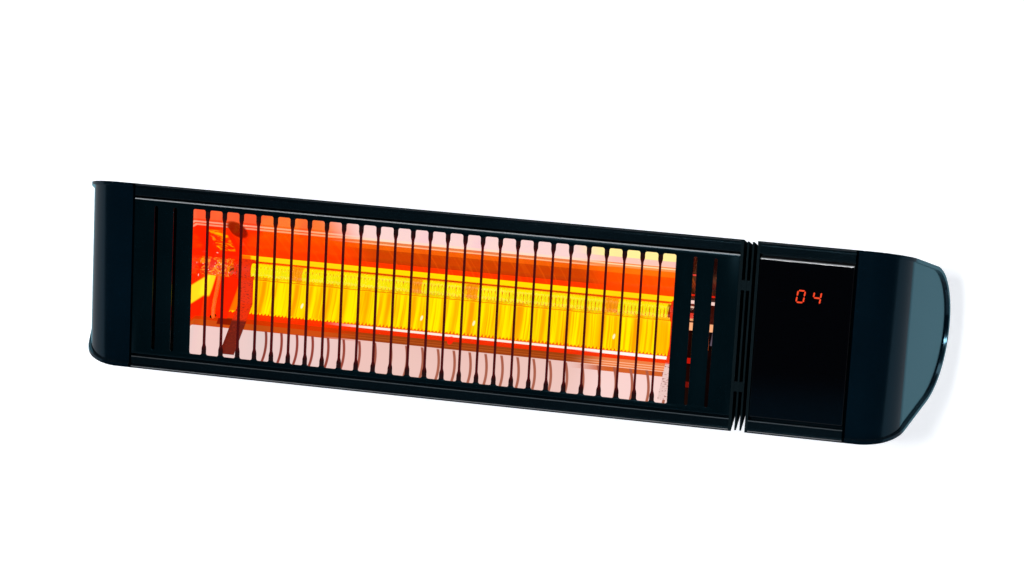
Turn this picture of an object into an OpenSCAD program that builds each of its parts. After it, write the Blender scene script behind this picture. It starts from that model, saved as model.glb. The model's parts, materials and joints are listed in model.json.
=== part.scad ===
/* [Body] */
// Overall length over both end caps
body_l = 660; // [620:1:900]
// Height of the front edge
body_h = 140; // [136:1:156]
// Depth from the front edge to the crown of the back
body_d = 106; // [102:1:116]
// Slope of the top and bottom walls towards the back, in degrees
wall_slope = 16; // [12:0.5:18]
// Wall of the extruded housings
wall_t = 2.5; // [2:0.1:3.2]

/* [End caps] */
// Length of each end cap
cap_l = 62.2; // [58:0.1:70]
// Plan radius where the front turns into the side
cap_corner_r = 33; // [28:1:36]
// Outward slant of the side towards the back, in degrees
cap_slant = 15; // [10:1:16]
// Thickness of the rim that stands round the side panel
rim_t = 2.5; // [2:0.1:3.5]
// How far the rim stands proud of the side panel
rim_proud = 2; // [1:0.1:3]
// Wall of the front and side panel
cap_wall = 2.5; // [2:0.1:4]

/* [Grille] */
// Height of each front lip, from its edge to the grille panel
lip_h = 11; // [8:0.5:15]
// Sheet thickness of the grille
sheet_t = 1; // [0.8:0.1:1.4]
// Least length of panel beside the slots
panel_end = 40; // [34:0.5:70]
// Pitch of the slots and blades
slot_pitch = 12.97; // [12:0.01:14]
// Width of a blade before it twists
blade_w = 3.5; // [2.8:0.1:4.5]
// Height over which a blade twists edge-on
twist_h = 8; // [6:0.5:12]
// Margin from the panel's edge to the slots
slot_margin = 4.2; // [3:0.1:8]
// Width of the vent slots beside the blades
vent_w = 2.5; // [1.5:0.1:4]

/* [Lamp] */
// Outside diameter of the quartz tube
tube_d = 14; // [13.8:0.1:18]
// How much shorter the quartz tube is than the row of slots
lamp_margin = 8; // [0:1:40]
// Wall of the quartz tube
tube_wall = 1; // [0.9:0.05:1.1]
// Outside diameter of the filament coil
coil_d = 10.2; // [8:0.1:10.4]
// Wire diameter of the filament coil
coil_wire = 1.1; // [0.8:0.1:1.6]
// Aimed step from one turn of the coil to the next
coil_step = 4.8; // [3.6:0.1:12]
// Depth of the lamp's axis behind the front edge
lamp_depth = 50; // [46:1:54]
// Height of the lamp's axis above the middle
lamp_rise = 2.2; // [-2:0.1:3]

/* [Control module] */
// Length of the module's housing
module_l = 67.5; // [62:0.1:120]
// Thickness of the front glass
glass_t = 3; // [2:0.5:4]
// Number of plates in the thermal break
fin_count = 2; // [1:1:2]
// Thickness of each plate in the thermal break
fin_t = 1.3; // [1:0.1:2]
// Gap on each side of a plate
fin_gap = 2.37; // [1.6:0.01:4]

/* [Bracket] */
// Distance from the housing's back to the tilt axis
pivot_reach = 32; // [28:1:50]
// Distance from the tilt axis to the wall
wall_reach = 48; // [40:1:80]
// Width of the tilt bracket over its cheeks
bracket_w = 100; // [80:1:140]
// Thickness of the bracket sheet
bracket_t = 3; // [2:0.5:4]
// Diameter of the pivot bolts
pivot_d = 8; // [6:1:10]
// Horizontal distance between the wall screw holes
wall_hole_x = 64; // [50:1:66]
// Vertical distance between the wall screw holes
wall_hole_z = 34; // [30:1:34]
// Diameter of the wall screw holes
wall_hole_d = 6.5; // [5:0.5:7]

/* [Hidden] */
// Smoothness of round shapes
round_fn = 48;
fine_fn = 24;
// One overrun for all cuts
over = 1;
// Clearance of a shaft in its bore on a moving joint
run_gap = 0.06;
// Clearance between flat faces that move on each other
face_gap = 0.1;
// Clearance of a screw in its hole
screw_gap = 0.2;
// Clearance round pieces that are laid into a pocket
fit_gap = 0.3;

// Section of the housing: two sloping walls tangent to a round back
back_c = (body_d - body_h / 2 * cos(wall_slope)) / (1 - sin(wall_slope));
back_r = body_d - back_c;
blend_lap = 0.05;
land_w = 26;
land_d = back_c + sqrt(back_r * back_r - land_w * land_w / 4);
panel_h = body_h - 2 * lip_h;

// Lips along the front edges
lip_rim = 2.2;
lip_groove = 1.1;
lip_groove_d = 1.5;
lip_t = 3;
lip_gap = 1.8;
lip_chamfer = 0.6;
lip_inner = panel_h / 2 + lip_gap;
shelf_d = 12;
shelf_t = 1.5;
shelf_lap = 3;

// Screw ports and the slot for the bracket's bolts
port_r = 3.8;
port_bore = 1.6;
port_d = 45;
port_sunk = 0.9;
port_z = wall_z(port_d, wall_t) - port_r + port_sunk;
slot_boss_w = 20;
slot_boss_d = 9.4;
tslot_w = 13.5;
tslot_h = 5;
tslot_lip = 2;
tslot_mouth = 6.6;
pad_d = 4;

// Stations along the length
left_plate = 2.2;
flange_t = 2.2;
module_plate = 2;
right_plate = 1.8;
break_l = fin_count * (fin_t + fin_gap) + fin_gap;
cap_x = body_l / 2 - cap_l;
main_x0 = -cap_x + left_plate;
module_x1 = cap_x - right_plate;
module_x0 = module_x1 - module_l;
main_x1 = module_x0 - module_plate - break_l - flange_t;
main_l = main_x1 - main_x0;
main_mid = (main_x0 + main_x1) / 2;
slot_count = floor((main_l - 2 * panel_end) / slot_pitch);
module_mid = (module_x0 + module_x1) / 2;
groove_d = 3;
// Length over which a cap's front turns into its side and slants out to the crown
cap_reach = cap_corner_r * cos(cap_slant)
    + (body_d - cap_corner_r * (1 - sin(cap_slant))) * tan(cap_slant);

// Grille
field_shift = -0.1;
field_mid = main_mid + field_shift;
slot_w = slot_pitch - blade_w;
slot_r = 1.5;
slot_half = panel_h / 2 - slot_margin;
blade_half = slot_half - slot_r;
blade_lap = 0.6;
blade_trim = 0.1;
field_half = (slot_count - 1) * slot_pitch / 2 + slot_w / 2;
vent_first = 13.8;
vent_step = 14.6;
vent_margin = 4.6;
panel_gap = 0.4;
panel_l = main_l - 2 * panel_gap;
twist_steps = 6;

// Reflector: a folded trough, given by its bends as shares of the body's depth and the panel's half height
mirror_t = 0.8;
mirror_shares = [[0.038, 0.945], [0.283, 0.6525], [0.566, 0.305], [0.679, 0.1186]];
mirror_bends = [for (m = mirror_shares) [m[0] * body_d, m[1] * panel_h / 2]];
mirror_back = mirror_bends[3];
mirror_past_lamp = 22;
mirror_end_t = 1;

// The lamp's place follows from the right end, where its holder meets the flange
tube_l = slot_count * slot_pitch - lamp_margin;
holder_l = 12;
mirror_x1 = main_x1 - fit_gap - holder_l - mirror_end_t;
lamp_mid = mirror_x1 - mirror_past_lamp - tube_l / 2;
mirror_x0 = lamp_mid - tube_l / 2 - mirror_past_lamp;
mirror_hole_gap = 0.5;
foot_w = 14;
foot_t = 1.5;
foot_station = 120;

// Lamp
pinch_l = 10;
pinch_t = 4;
pinch_w = 11;
base_l = 22;
base_gap = 1;
base_d = 14;
coil_margin = 6;
coil_l = tube_l - 2 * coil_margin;
coil_turns = round(coil_l / coil_step);
coil_tail = 1.2;
coil_r = (coil_d - coil_wire) / 2;
coil_rings = 8;
coil_sides = 6;
support_shares = [-0.73, -0.19, 0.057, 0.672];
support_rings = 3;
support_step = 2.6;
support_wire = 0.6;
support_gap = 0.15;
holder_w = 22;
holder_h = 26;
clip_w = 11;
clip_t = 0.8;
clip_gap = 0.15;
clip_inset = 7;
clip_reach_share = 0.9;

// Thermal break and its fasteners
fin_inset = 1;
lug_h = 7;
lug_d = 3;
lug_z = body_h / 2 - panel_h / 4 - lug_h / 2;
tie_r = 2;
tie_head_r = 3.6;
tie_head_h = 2.6;
tie_nut_w = 7;
tie_nut_h = 3.2;
tie_edge = 10.8;
tie_back = 15;
tie_depths = [24, body_d - tie_back];
sleeve_r = 6;
sleeve_wall = 1.5;
sleeve_back = 48;
sleeve_d = body_d - sleeve_back;
sleeve_edge = 16.8;
sleeve_z = sleeve_edge - section_z(sleeve_d, wall_t);
sleeve_proud = 2.5;

// Screws of the plates and caps
plate_screw_l = 14;
plate_head_r = 2.6;
plate_head_h = 1.4;
cap_screw_r = 2;
cap_boss_r = 4.5;
cap_screw_l = 16;
cap_edge = 13.4;
cap_back = 22;
cap_depths = [36, body_d - cap_back];

// Control module
glass_edge = 1;
glass_h = panel_h - 2 * glass_edge;
glass_gap = 0.4;
carrier_rib = 3;
board_t = 1.6;
display_h = 44;
display_drop = 6;
display_z = glass_h / 2 - display_drop - display_h / 2;
digit_w = 26;
digit_h = 15;
digit_d = 5;
digit_x = 1.5;
digit_z = 2;
eye_r = 2.5;
eye_l = 5;
eye_z = -14;
control_d = 22;
control_back = 22;
control_w = body_d - control_d - control_back;
control_top_edge = 2.6;
control_low_edge = 8.6;
control_top = section_z(control_d + control_w, wall_t) - control_top_edge;
control_low = control_low_edge - section_z(control_d + control_w, wall_t);
control_h = control_top - control_low;
post_l = 6;
post_r = 3;
post_inset = 6;
post_bore = 1.4;
board_screw_head = 2.6;
board_screw_l = 5;
sink_l = 34;
sink_gap = 1;
sink_base = 3;
sink_fins = 6;
sink_fin_t = 1.4;
triac_w = 10;
triac_h = 15;
triac_t = 4.4;
supply_box = [24, control_w * 0.45, 24];
supply_step = [control_w * 0.16, 7];
block_ways = 4;
block_pitch = 9;
block_back = 10.5;
block_h = 14;
block_bore = 1.6;

// Cable gland at the back of the module
gland_bore = 4.5;
gland_r = 8;
gland_flange_w = 19;
gland_flange_t = 4;
gland_dome = 9;
gland_nut_w = 21;
gland_nut_t = 4;
gland_tail = 10;

// Main switch in the bottom wall of the module
switch_depth = 30;
switch_l = 21;
switch_w = 13;
switch_flange = 2.5;
switch_flange_t = 2;
switch_deep = 14;
switch_wall = 1.8;
rocker_gap = 0.35;
rocker_rise = 2.4;
rocker_swing = 8;
rocker_pin = 1.25;
rocker_root = 5.5;
rocker_sink = 3;

// Brackets
tilt_h = 24;
washer_t = 1.5;
washer_r = 10;
lug_r = 14;
lug_base = 22;
plate_h = 52;
pivot_head_w = 13;
pivot_head_h = 5.3;
pivot_nut_h = 8;
rail_bolt_x = 30;
rail_bolt_d = 6;
rail_head = 12;
rail_head_h = 4;
rail_nut_w = 10;
rail_nut_h = 6;
rail_flange_r = 6.8;
rail_flange_t = 1.4;
cheek_out = bracket_w / 2;
wall_cheek = cheek_out + washer_t + 2 * face_gap;
front_reach = land_d + pivot_reach + wall_reach;
pivot_y = -wall_reach;

// Half height of the section at a depth, taken in by a distance
function section_z(depth, inset) =
    depth < back_c + back_r * sin(wall_slope)
        ? wall_z(depth, inset)
        : sqrt(pow(back_r - inset, 2) - pow(depth - back_c, 2));
function wall_z(depth, inset) = body_h / 2 - depth * tan(wall_slope) - inset / cos(wall_slope);

// Places its children in the heater's own frame: depth grows from the front edge along +Y
module in_body() {
    translate([0, -front_reach, 0]) children();
}

// Extrudes a section drawn as depth and height along X
module along_x(x0, len) {
    translate([x0, 0, 0]) rotate([90, 0, 90]) linear_extrude(len) children();
}

// A cylinder along X from x0
module rod_x(x0, len, r, fn = fine_fn) {
    translate([x0, 0, 0]) rotate([0, 90, 0]) cylinder(h = len, r = r, $fn = fn);
}

// Mirrors its children to both sides of the middle height
module both_z() {
    children();
    mirror([0, 0, 1]) children();
}

// Mirrors its children to both sides of X = 0
module both_x() {
    children();
    mirror([1, 0, 0]) children();
}

// A length of the D-shaped section, taken in by a distance: straight walls that run into the round back
module section_block(x0, len, inset = 0, front = 0) {
    r = back_r - inset;
    meet = [back_c + (r - blend_lap) * sin(wall_slope), (r - blend_lap) * cos(wall_slope)];
    union() {
        along_x(x0, len)
            polygon([
                [front, wall_z(front, inset)], meet, [meet[0], -meet[1]], [front, -wall_z(front, inset)]
            ]);
        intersection() {
            translate([0, back_c, 0]) rod_x(x0, len, r, 2 * round_fn);
            translate([x0, meet[0] - blend_lap, -r]) cube([len, back_c + r, 2 * r]);
        }
    }
}

// One front lip: a bar across the wall's end, with a chamfer beside the panel
module lip_section() {
    top = body_h / 2;
    polygon([
        [0, top],
        [0, lip_inner + lip_chamfer],
        [lip_chamfer, lip_inner],
        [lip_t, lip_inner],
        [lip_t, top - lip_t * tan(wall_slope)]
    ]);
}

// Fine groove along the face of each lip, which leaves a narrow rim at the outer edge
module lip_grooves(x0, len) {
    both_z() translate([x0 - over, -over, body_h / 2 - lip_rim - lip_groove])
        cube([len + 2 * over, lip_groove_d + over, lip_groove]);
}

// A narrow shelf on which the panel's flange or the glass carrier seats
module shelf_section() {
    low = panel_h / 2 - shelf_lap;
    polygon([
        [shelf_d, low],
        [shelf_d + shelf_t, low],
        [shelf_d + shelf_t, wall_z(shelf_d, wall_t / 2)],
        [shelf_d, wall_z(shelf_d, wall_t / 2)]
    ]);
}

// A C-shaped port along the inside of the wall, for a self-tapping screw
module screw_port(x0, len) {
    translate([0, port_d, port_z]) difference() {
        rod_x(x0, len, port_r);
        rod_x(x0 - over, len + 2 * over, port_bore);
    }
}

// The extruded shell shared by the main housing and the module
module shell(x0, len) {
    difference() {
        section_block(x0, len);
        section_block(x0 - over, len + 2 * over, wall_t, -over);
        lip_grooves(x0, len);
        translate([x0 - over, land_d, -land_w / 2])
            cube([len + 2 * over, body_d - land_d + over, land_w]);
    }
    difference() {
        both_z() along_x(x0, len) lip_section();
        lip_grooves(x0, len);
    }
    both_z() {
        along_x(x0, len) shelf_section();
        screw_port(x0, len);
    }
}

module main_housing() {
    color([0.03, 0.06, 0.08]) in_body() difference() {
        union() {
            shell(main_x0, main_l);
            translate([main_x0, land_d - slot_boss_d, -slot_boss_w / 2])
                cube([main_l, slot_boss_d, slot_boss_w]);
        }
        translate([main_x0 - over, land_d - tslot_lip - tslot_h, -tslot_w / 2])
            cube([main_l + 2 * over, tslot_h, tslot_w]);
        translate([main_x0 - over, land_d - tslot_lip - over, -tslot_mouth / 2])
            cube([main_l + 2 * over, tslot_lip + 2 * over, tslot_mouth]);
    }
}

// A plate of the housing's section, with the holes that all plates share
module section_plate(x0, t, inset, holes) {
    difference() {
        section_block(x0, t, inset);
        for (hole = holes)
            translate([0, hole[0], hole[1]]) rod_x(x0 - over, t + 2 * over, hole[2]);
    }
}

function ring_places(depths, edge) =
    [for (s = [-1, 1]) for (d = depths) [d, s * (section_z(d, wall_t) - edge)]];
cap_places = ring_places(cap_depths, cap_edge);
tie_holes = [for (p = ring_places(tie_depths, tie_edge)) [p[0], p[1], tie_r + screw_gap]];
cap_holes = [for (p = cap_places) [p[0], p[1], cap_screw_r + screw_gap]];
sleeve_hole = [[sleeve_d, sleeve_z, sleeve_r + screw_gap]];
port_holes = [for (s = [-1, 1]) [port_d, s * port_z, port_bore + screw_gap]];

// Front recess that leaves a dark groove between a cap and its neighbour
module groove_cut(x0, t) {
    translate([x0 - over, -over, -body_h / 2 + rim_t])
        cube([t + 2 * over, groove_d + over, body_h - 2 * rim_t]);
}

module left_bulkhead() {
    color([0.02, 0.02, 0.03]) in_body() difference() {
        section_plate(main_x0 - left_plate, left_plate, 0, concat(cap_holes, port_holes));
        groove_cut(main_x0 - left_plate, left_plate);
    }
}

module right_bulkhead() {
    color([0.02, 0.02, 0.03]) in_body() difference() {
        section_plate(module_x1, right_plate, 0, concat(cap_holes, port_holes));
        groove_cut(module_x1, right_plate);
    }
}

module main_flange() {
    color([0.04, 0.09, 0.1]) in_body() difference() {
        section_plate(main_x1, flange_t, 0, concat(tie_holes, port_holes, sleeve_hole));
        for (s = [-1, 1])
            translate([0, port_d, s * port_z])
                rod_x(main_x1 + flange_t - plate_head_h, plate_head_h + over, plate_head_r + screw_gap);
    }
}

module module_flange() {
    color([0.04, 0.09, 0.1]) in_body()
        section_plate(module_x0 - module_plate, module_plate, 0, concat(tie_holes, sleeve_hole));
}

// Plates of the thermal break, each with two lugs that keep it off its left neighbour
module cooling_fins() {
    color([0.05, 0.08, 0.09]) in_body() for (i = [0 : fin_count - 1]) {
        x = main_x1 + flange_t + fin_gap + i * (fin_t + fin_gap);
        section_plate(x, fin_t, fin_inset, concat(tie_holes, sleeve_hole));
        both_z() translate([x - fin_gap + face_gap, 0, lug_z - lug_h / 2])
            cube([fin_gap - face_gap / 2, lug_d, lug_h]);
    }
}

module module_housing() {
    wall_hole = switch_l + 2 * fit_gap;
    color([0.03, 0.06, 0.08]) in_body() difference() {
        union() {
            shell(module_x0, module_l);
            translate([module_x0, land_d - pad_d, -land_w / 2]) cube([module_l, pad_d, land_w]);
        }
        translate([module_mid, land_d + over, 0]) rotate([90, 0, 0])
            cylinder(h = pad_d + 2 * over, r = gland_r + screw_gap, $fn = round_fn);
        at_switch() translate([-switch_w / 2 - fit_gap, -wall_hole / 2, -over])
            cube([switch_w + 2 * fit_gap, wall_hole, wall_t + 2 * over]);
    }
}

// Front sheet: slots, vents, a window for the twisted part of the blades, and folded edges
module grille_outline() {
    difference() {
        translate([main_mid - panel_l / 2, -panel_h / 2]) square([panel_l, panel_h]);
        for (i = [0 : slot_count - 1])
            translate([field_mid + (i - (slot_count - 1) / 2) * slot_pitch, 0])
                round_slot(slot_w, 2 * slot_half, slot_r);
        translate([field_mid - field_half, -blade_half]) square([2 * field_half, 2 * blade_half]);
        for (s = [-1, 1])
            for (i = [0, 1])
                translate([field_mid + s * (field_half + vent_first + i * vent_step), 0])
                    round_slot(vent_w, panel_h - 2 * vent_margin, vent_w / 4);
    }
}

module round_slot(w, h, r) {
    translate([-w / 2 + r, -h / 2]) square([w - 2 * r, h]);
    translate([-w / 2, -h / 2 + r]) square([w, h - 2 * r]);
    for (x = [-1, 1])
        for (y = [-1, 1])
            translate([x * (w / 2 - r), y * (h / 2 - r)]) circle(r = r, $fn = 16);
}

// Share of the twist reached at each step from a blade's root
function twist_share(i) = (1 - cos(180 * i / twist_steps)) / 2;

// Heights and turns of a blade's sections, from the bottom root to the top root
blade_stations = concat(
    [[-blade_half - blade_lap, 0]],
    [for (i = [0 : twist_steps]) [-blade_half + twist_h * i / twist_steps, 90 * twist_share(i)]],
    [for (i = [twist_steps : -1 : 0]) [blade_half - twist_h * i / twist_steps, 90 * twist_share(i)]],
    [[blade_half + blade_lap, 0]]);

// A flat strip that is turned edge-on between its roots
module twisted_blade() {
    w = (blade_w - blade_trim) / 2;
    t = (sheet_t - blade_trim) / 2;
    corner_shares = [[1, 1], [-1, 1], [-1, -1], [1, -1]];
    points = [for (s = blade_stations) for (c = corner_shares)
        let (x = w * c[0], y = t * c[1])
        [x * cos(s[1]) - y * sin(s[1]), x * sin(s[1]) + y * cos(s[1]), s[0]]];
    last = 4 * (len(blade_stations) - 1);
    faces = concat(
        [[0, 1, 2], [0, 2, 3]],
        [for (j = [0 : len(blade_stations) - 2]) for (i = [0 : 3])
            let (a = 4 * j + i, b = 4 * j + (i + 1) % 4) each [[a, b + 4, b], [a, a + 4, b + 4]]],
        [[last, last + 2, last + 1], [last, last + 3, last + 2]]);
    polyhedron(points, faces);
}

module front_grille() {
    color([0.04, 0.1, 0.11]) in_body() {
        translate([0, sheet_t, 0]) rotate([90, 0, 0]) linear_extrude(sheet_t) grille_outline();
        both_z() translate([main_mid - panel_l / 2, 0, panel_h / 2 - sheet_t])
            cube([panel_l, shelf_d, sheet_t]);
        for (i = [1 : slot_count - 1])
            translate([field_mid + (i - slot_count / 2) * slot_pitch, sheet_t / 2, 0]) twisted_blade();
    }
}

// Outline of a folded sheet: its bends as depth and half height, thickened outwards
function unit(v) = v / norm(v);
function fold_normal(a, b) = let (d = unit(b - a)) [-d[1], d[0]];
function miter(pts, i) =
    let (
        n0 = fold_normal(pts[max(i - 1, 0)], pts[max(i, 1)]),
        n1 = fold_normal(pts[min(i, len(pts) - 2)], pts[min(i + 1, len(pts) - 1)]),
        m = unit(n0 + n1)
    ) m / (m * n0);
mirror_fold = concat(mirror_bends, [for (i = [3 : -1 : 0]) [mirror_bends[i][0], -mirror_bends[i][1]]]);
function mirror_offset(d) = [for (i = [0 : len(mirror_fold) - 1]) mirror_fold[i] + d * miter(mirror_fold, i)];
function mirror_side(depth) =
    let (a = mirror_bends[1], b = mirror_bends[2]) a[1] + (depth - a[0]) * (b[1] - a[1]) / (b[0] - a[0]);

module mirror_section() {
    outer = mirror_offset(mirror_t);
    polygon(concat(mirror_fold, [for (i = [len(outer) - 1 : -1 : 0]) outer[i]]));
}

module reflector() {
    color([0.85, 0.83, 0.8]) in_body() difference() {
        along_x(mirror_x0, mirror_x1 - mirror_x0) mirror_section();
        for (lead = [left_lead, right_lead])
            translate([lead[0][0], lead_dip(lead)[1], -mirror_bends[0][1]])
                cylinder(h = mirror_bends[0][1] - mirror_back[1], r = lead_r + base_gap, $fn = fine_fn);
    }
}

module reflector_ends() {
    color([0.8, 0.78, 0.75]) in_body() for (x = [mirror_x0 - mirror_end_t, mirror_x1]) difference() {
        along_x(x, mirror_end_t) polygon(mirror_offset(mirror_t));
        translate([0, lamp_depth, lamp_rise])
            rod_x(x - over, mirror_end_t + 2 * over, base_d / 2 + mirror_hole_gap);
    }
}

// Feet folded from strip: they stand on the rear boss and carry the trough's back
module reflector_brackets() {
    y0 = mirror_back[0] + mirror_t;
    y1 = land_d - slot_boss_d;
    color([0.6, 0.6, 0.62]) in_body() for (s = [-1, 1])
        translate([main_mid + s * foot_station - foot_w / 2, 0, 0]) {
            translate([0, y0, -mirror_back[1]]) cube([foot_w, foot_t, 2 * mirror_back[1]]);
            translate([0, y1 - foot_t, -mirror_back[1]]) cube([foot_w, foot_t, 2 * mirror_back[1]]);
            translate([0, y0, -foot_t / 2]) cube([foot_w, y1 - y0, foot_t]);
        }
}

module at_lamp() {
    in_body() translate([lamp_mid, lamp_depth, lamp_rise]) children();
}

// Quartz tube with a flattened pinch at each end
module lamp_tube() {
    color([0.95, 0.5, 0.3, 0.5]) at_lamp() {
        difference() {
            rod_x(-tube_l / 2, tube_l, tube_d / 2, round_fn);
            rod_x(-tube_l / 2 + tube_wall, tube_l - 2 * tube_wall, tube_d / 2 - tube_wall, round_fn);
        }
        both_x() translate([tube_l / 2 - tube_wall / 2, -pinch_w / 2, -pinch_t / 2])
            cube([pinch_l + tube_wall / 2, pinch_w, pinch_t]);
    }
}

// Point of the coil's centre line after a number of turns, with a tail that runs in to the axis
coil_pitch = coil_l / coil_turns;
coil_flare = 1;
function coil_share(turn) = min(1, turn / coil_flare, (coil_turns - turn) / coil_flare);
function coil_point(turn) =
    let (r = coil_r * sin(90 * max(coil_share(turn), 0)))
    [-coil_l / 2 + coil_pitch * turn, r * cos(360 * turn), r * sin(360 * turn)];
coil_path = concat(
    [[-coil_l / 2 - coil_tail, 0, 0]],
    [for (i = [0 : coil_turns * coil_rings]) coil_point(i / coil_rings)],
    [[coil_l / 2 + coil_tail, 0, 0]]);

// Tube swept along a path, square to it at every point, with a steady upright direction
function path_way(path, i) = unit(path[min(i + 1, len(path) - 1)] - path[max(i - 1, 0)]);
function ring_points(centre, way, side, r, sides) =
    let (u = unit(cross(way, side)), v = cross(way, u))
    [for (k = [0 : sides - 1]) centre + r * (u * cos(360 * k / sides) + v * sin(360 * k / sides))];
function tube_faces(rings, sides) = concat(
    [for (k = [1 : sides - 2]) [0, k, k + 1]],
    [for (j = [0 : rings - 2]) for (k = [0 : sides - 1])
        let (a = j * sides + k, b = j * sides + (k + 1) % sides)
        each [[a, a + sides, b], [b, a + sides, b + sides]]],
    [for (k = [1 : sides - 2]) let (e = (rings - 1) * sides) [e, e + k + 1, e + k]]);

module swept_tube(path, r, sides, side_of) {
    points = [for (i = [0 : len(path) - 1])
        each ring_points(path[i], path_way(path, i), side_of[min(i, len(side_of) - 1)], r, sides)];
    polyhedron(points, tube_faces(len(path), sides));
}

module filament() {
    color([1, 0.75, 0.1]) at_lamp()
        swept_tube(coil_path, coil_wire / 2, coil_sides, [[1, 0, 0.001]]);
}

// Least gap between one turn of the coil and the next, measured on its points
coil_gap = min([for (i = [1 : len(coil_path) - coil_rings - 2])
    norm(coil_path[i + coil_rings] - coil_path[i])]) - coil_wire;
echo(least_gap_of_the_coil = coil_gap);

// Wire rings in small groups, at shares of the coil's half length on both sides of its middle
module filament_supports() {
    support_r = tube_d / 2 - tube_wall - support_gap - support_wire / 2;
    color([0.5, 0.4, 0.35]) at_lamp() for (share = support_shares, i = [0 : support_rings - 1])
        translate([share * coil_l / 2 + (i - (support_rings - 1) / 2) * support_step, 0, 0])
            rotate([0, 90, 0]) rotate_extrude($fn = round_fn)
                translate([support_r, 0]) circle(r = support_wire / 2, $fn = 16);
}

// Ceramic ends that grip the pinches
module lamp_bases() {
    color([0.9, 0.88, 0.82]) at_lamp() both_x() difference() {
        rod_x(tube_l / 2 + base_gap, base_l + pinch_l - base_gap, base_d / 2, round_fn);
        translate([tube_l / 2, -pinch_w / 2 - fit_gap, -pinch_t / 2 - fit_gap])
            cube([pinch_l + fit_gap, pinch_w + 2 * fit_gap, pinch_t + 2 * fit_gap]);
    }
}

// Ceramic sockets behind the reflector's end plates
module lamp_holders() {
    socket_r = base_d / 2 + fit_gap;
    holder_x = [mirror_x0 - mirror_end_t - holder_l, mirror_x1 + mirror_end_t];
    color([0.86, 0.84, 0.78]) in_body() for (x = holder_x)
        translate([x, lamp_depth, lamp_rise]) difference() {
            translate([0, -holder_w / 2, -holder_h / 2]) cube([holder_l, holder_w, holder_h]);
            rod_x(-over, holder_l + 2 * over, socket_r);
        }
}

// A strip that lies on the reflector's lower side, from near its mouth to below the lamp
module clip_foot_section() {
    near = mirror_offset(-clip_gap);
    far = mirror_offset(-clip_gap - clip_t);
    bend = len(mirror_fold) - 2;
    front = clip_reach_share;
    rear = (lamp_depth + clip_t / 2 - mirror_bends[1][0]) / (mirror_bends[2][0] - mirror_bends[1][0]);
    polygon([
        near[bend] + front * (near[bend + 1] - near[bend]),
        near[bend],
        near[bend] + rear * (near[bend - 1] - near[bend]),
        far[bend] + rear * (far[bend - 1] - far[bend]),
        far[bend],
        far[bend] + front * (far[bend + 1] - far[bend])
    ]);
}

// Spring strips: a loop round the tube, a leg below it and a foot that lies in the trough
module lamp_clips() {
    ring_r = tube_d / 2 + clip_gap;
    leg_top = lamp_rise - ring_r - clip_t / 2;
    leg_low = -mirror_side(lamp_depth) + clip_gap + clip_t;
    color([0.5, 0.48, 0.45]) in_body() translate([lamp_mid, 0, 0]) both_x()
        translate([tube_l / 2 - clip_inset - clip_w, 0, 0]) {
            translate([0, lamp_depth, lamp_rise]) difference() {
                rod_x(0, clip_w, ring_r + clip_t, round_fn);
                rod_x(-over, clip_w + 2 * over, ring_r, round_fn);
            }
            translate([0, lamp_depth - clip_t / 2, leg_low]) cube([clip_w, clip_t, leg_top - leg_low]);
            along_x(0, clip_w) clip_foot_section();
        }
}

// Plan of a cap's outer face, taken in by a distance
module cap_plan(inset) {
    steps = 16;
    far = body_d + over;
    turn_x = body_l / 2 - cap_reach;
    r = cap_corner_r - inset;
    turn_d = cap_corner_r - r * sin(cap_slant);
    side_x = turn_x + r * cos(cap_slant);
    polygon(concat(
        [[cap_x - over, inset]],
        [for (i = [0 : steps])
            let (a = -90 + (90 - cap_slant) * i / steps)
            [turn_x + r * cos(a), cap_corner_r + r * sin(a)]],
        [[side_x + (far - turn_d) * tan(cap_slant), far], [cap_x - over, far]]));
}

module cap_block(inset, plan_inset) {
    intersection() {
        section_block(cap_x, cap_l + over, inset);
        translate([0, 0, -body_h / 2 - over]) linear_extrude(body_h + 2 * over) cap_plan(plan_inset);
    }
}

// A cap: thin proud rim all round, curved front and slanted side set back inside it
module end_cap() {
    difference() {
        cap_block(0, 0);
        difference() {
            cap_block(rim_t, 0);
            cap_block(rim_t - over / 4, rim_proud);
        }
        cap_block(rim_t, rim_proud + cap_wall);
        translate([cap_x - over, -over, -body_h / 2 + rim_t])
            cube([over, body_d + over, body_h - 2 * rim_t]);
    }
    difference() {
        intersection() {
            for (p = cap_places)
                translate([0, p[0], p[1]]) rod_x(cap_x, cap_l, cap_boss_r);
            cap_block(rim_t / 2, rim_proud + cap_wall / 2);
        }
        for (p = cap_places)
            translate([0, p[0], p[1]]) rod_x(cap_x - over, cap_screw_l - right_plate + over, cap_screw_r);
    }
}

module right_end_cap() {
    color([0.03, 0.07, 0.09]) in_body() end_cap();
}

module left_end_cap() {
    color([0.03, 0.07, 0.09]) in_body() mirror([1, 0, 0]) end_cap();
}

// A cheese-head screw along X with its head's seat at x, its tip towards +X
module screw_x(x, head_r, head_h, r, len) {
    rod_x(x - head_h, head_h, head_r);
    rod_x(x - head_h / 2, len + head_h / 2, r);
}

module cap_screws() {
    color([0.7, 0.7, 0.72]) in_body() for (p = cap_places)
        translate([0, p[0], p[1]]) {
            screw_x(module_x1, plate_head_r + screw_gap, plate_head_h, cap_screw_r - screw_gap / 2,
                cap_screw_l - screw_gap);
            mirror([1, 0, 0]) screw_x(-main_x0, plate_head_r + screw_gap, plate_head_h,
                cap_screw_r - screw_gap / 2, cap_screw_l - screw_gap);
        }
}

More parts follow.
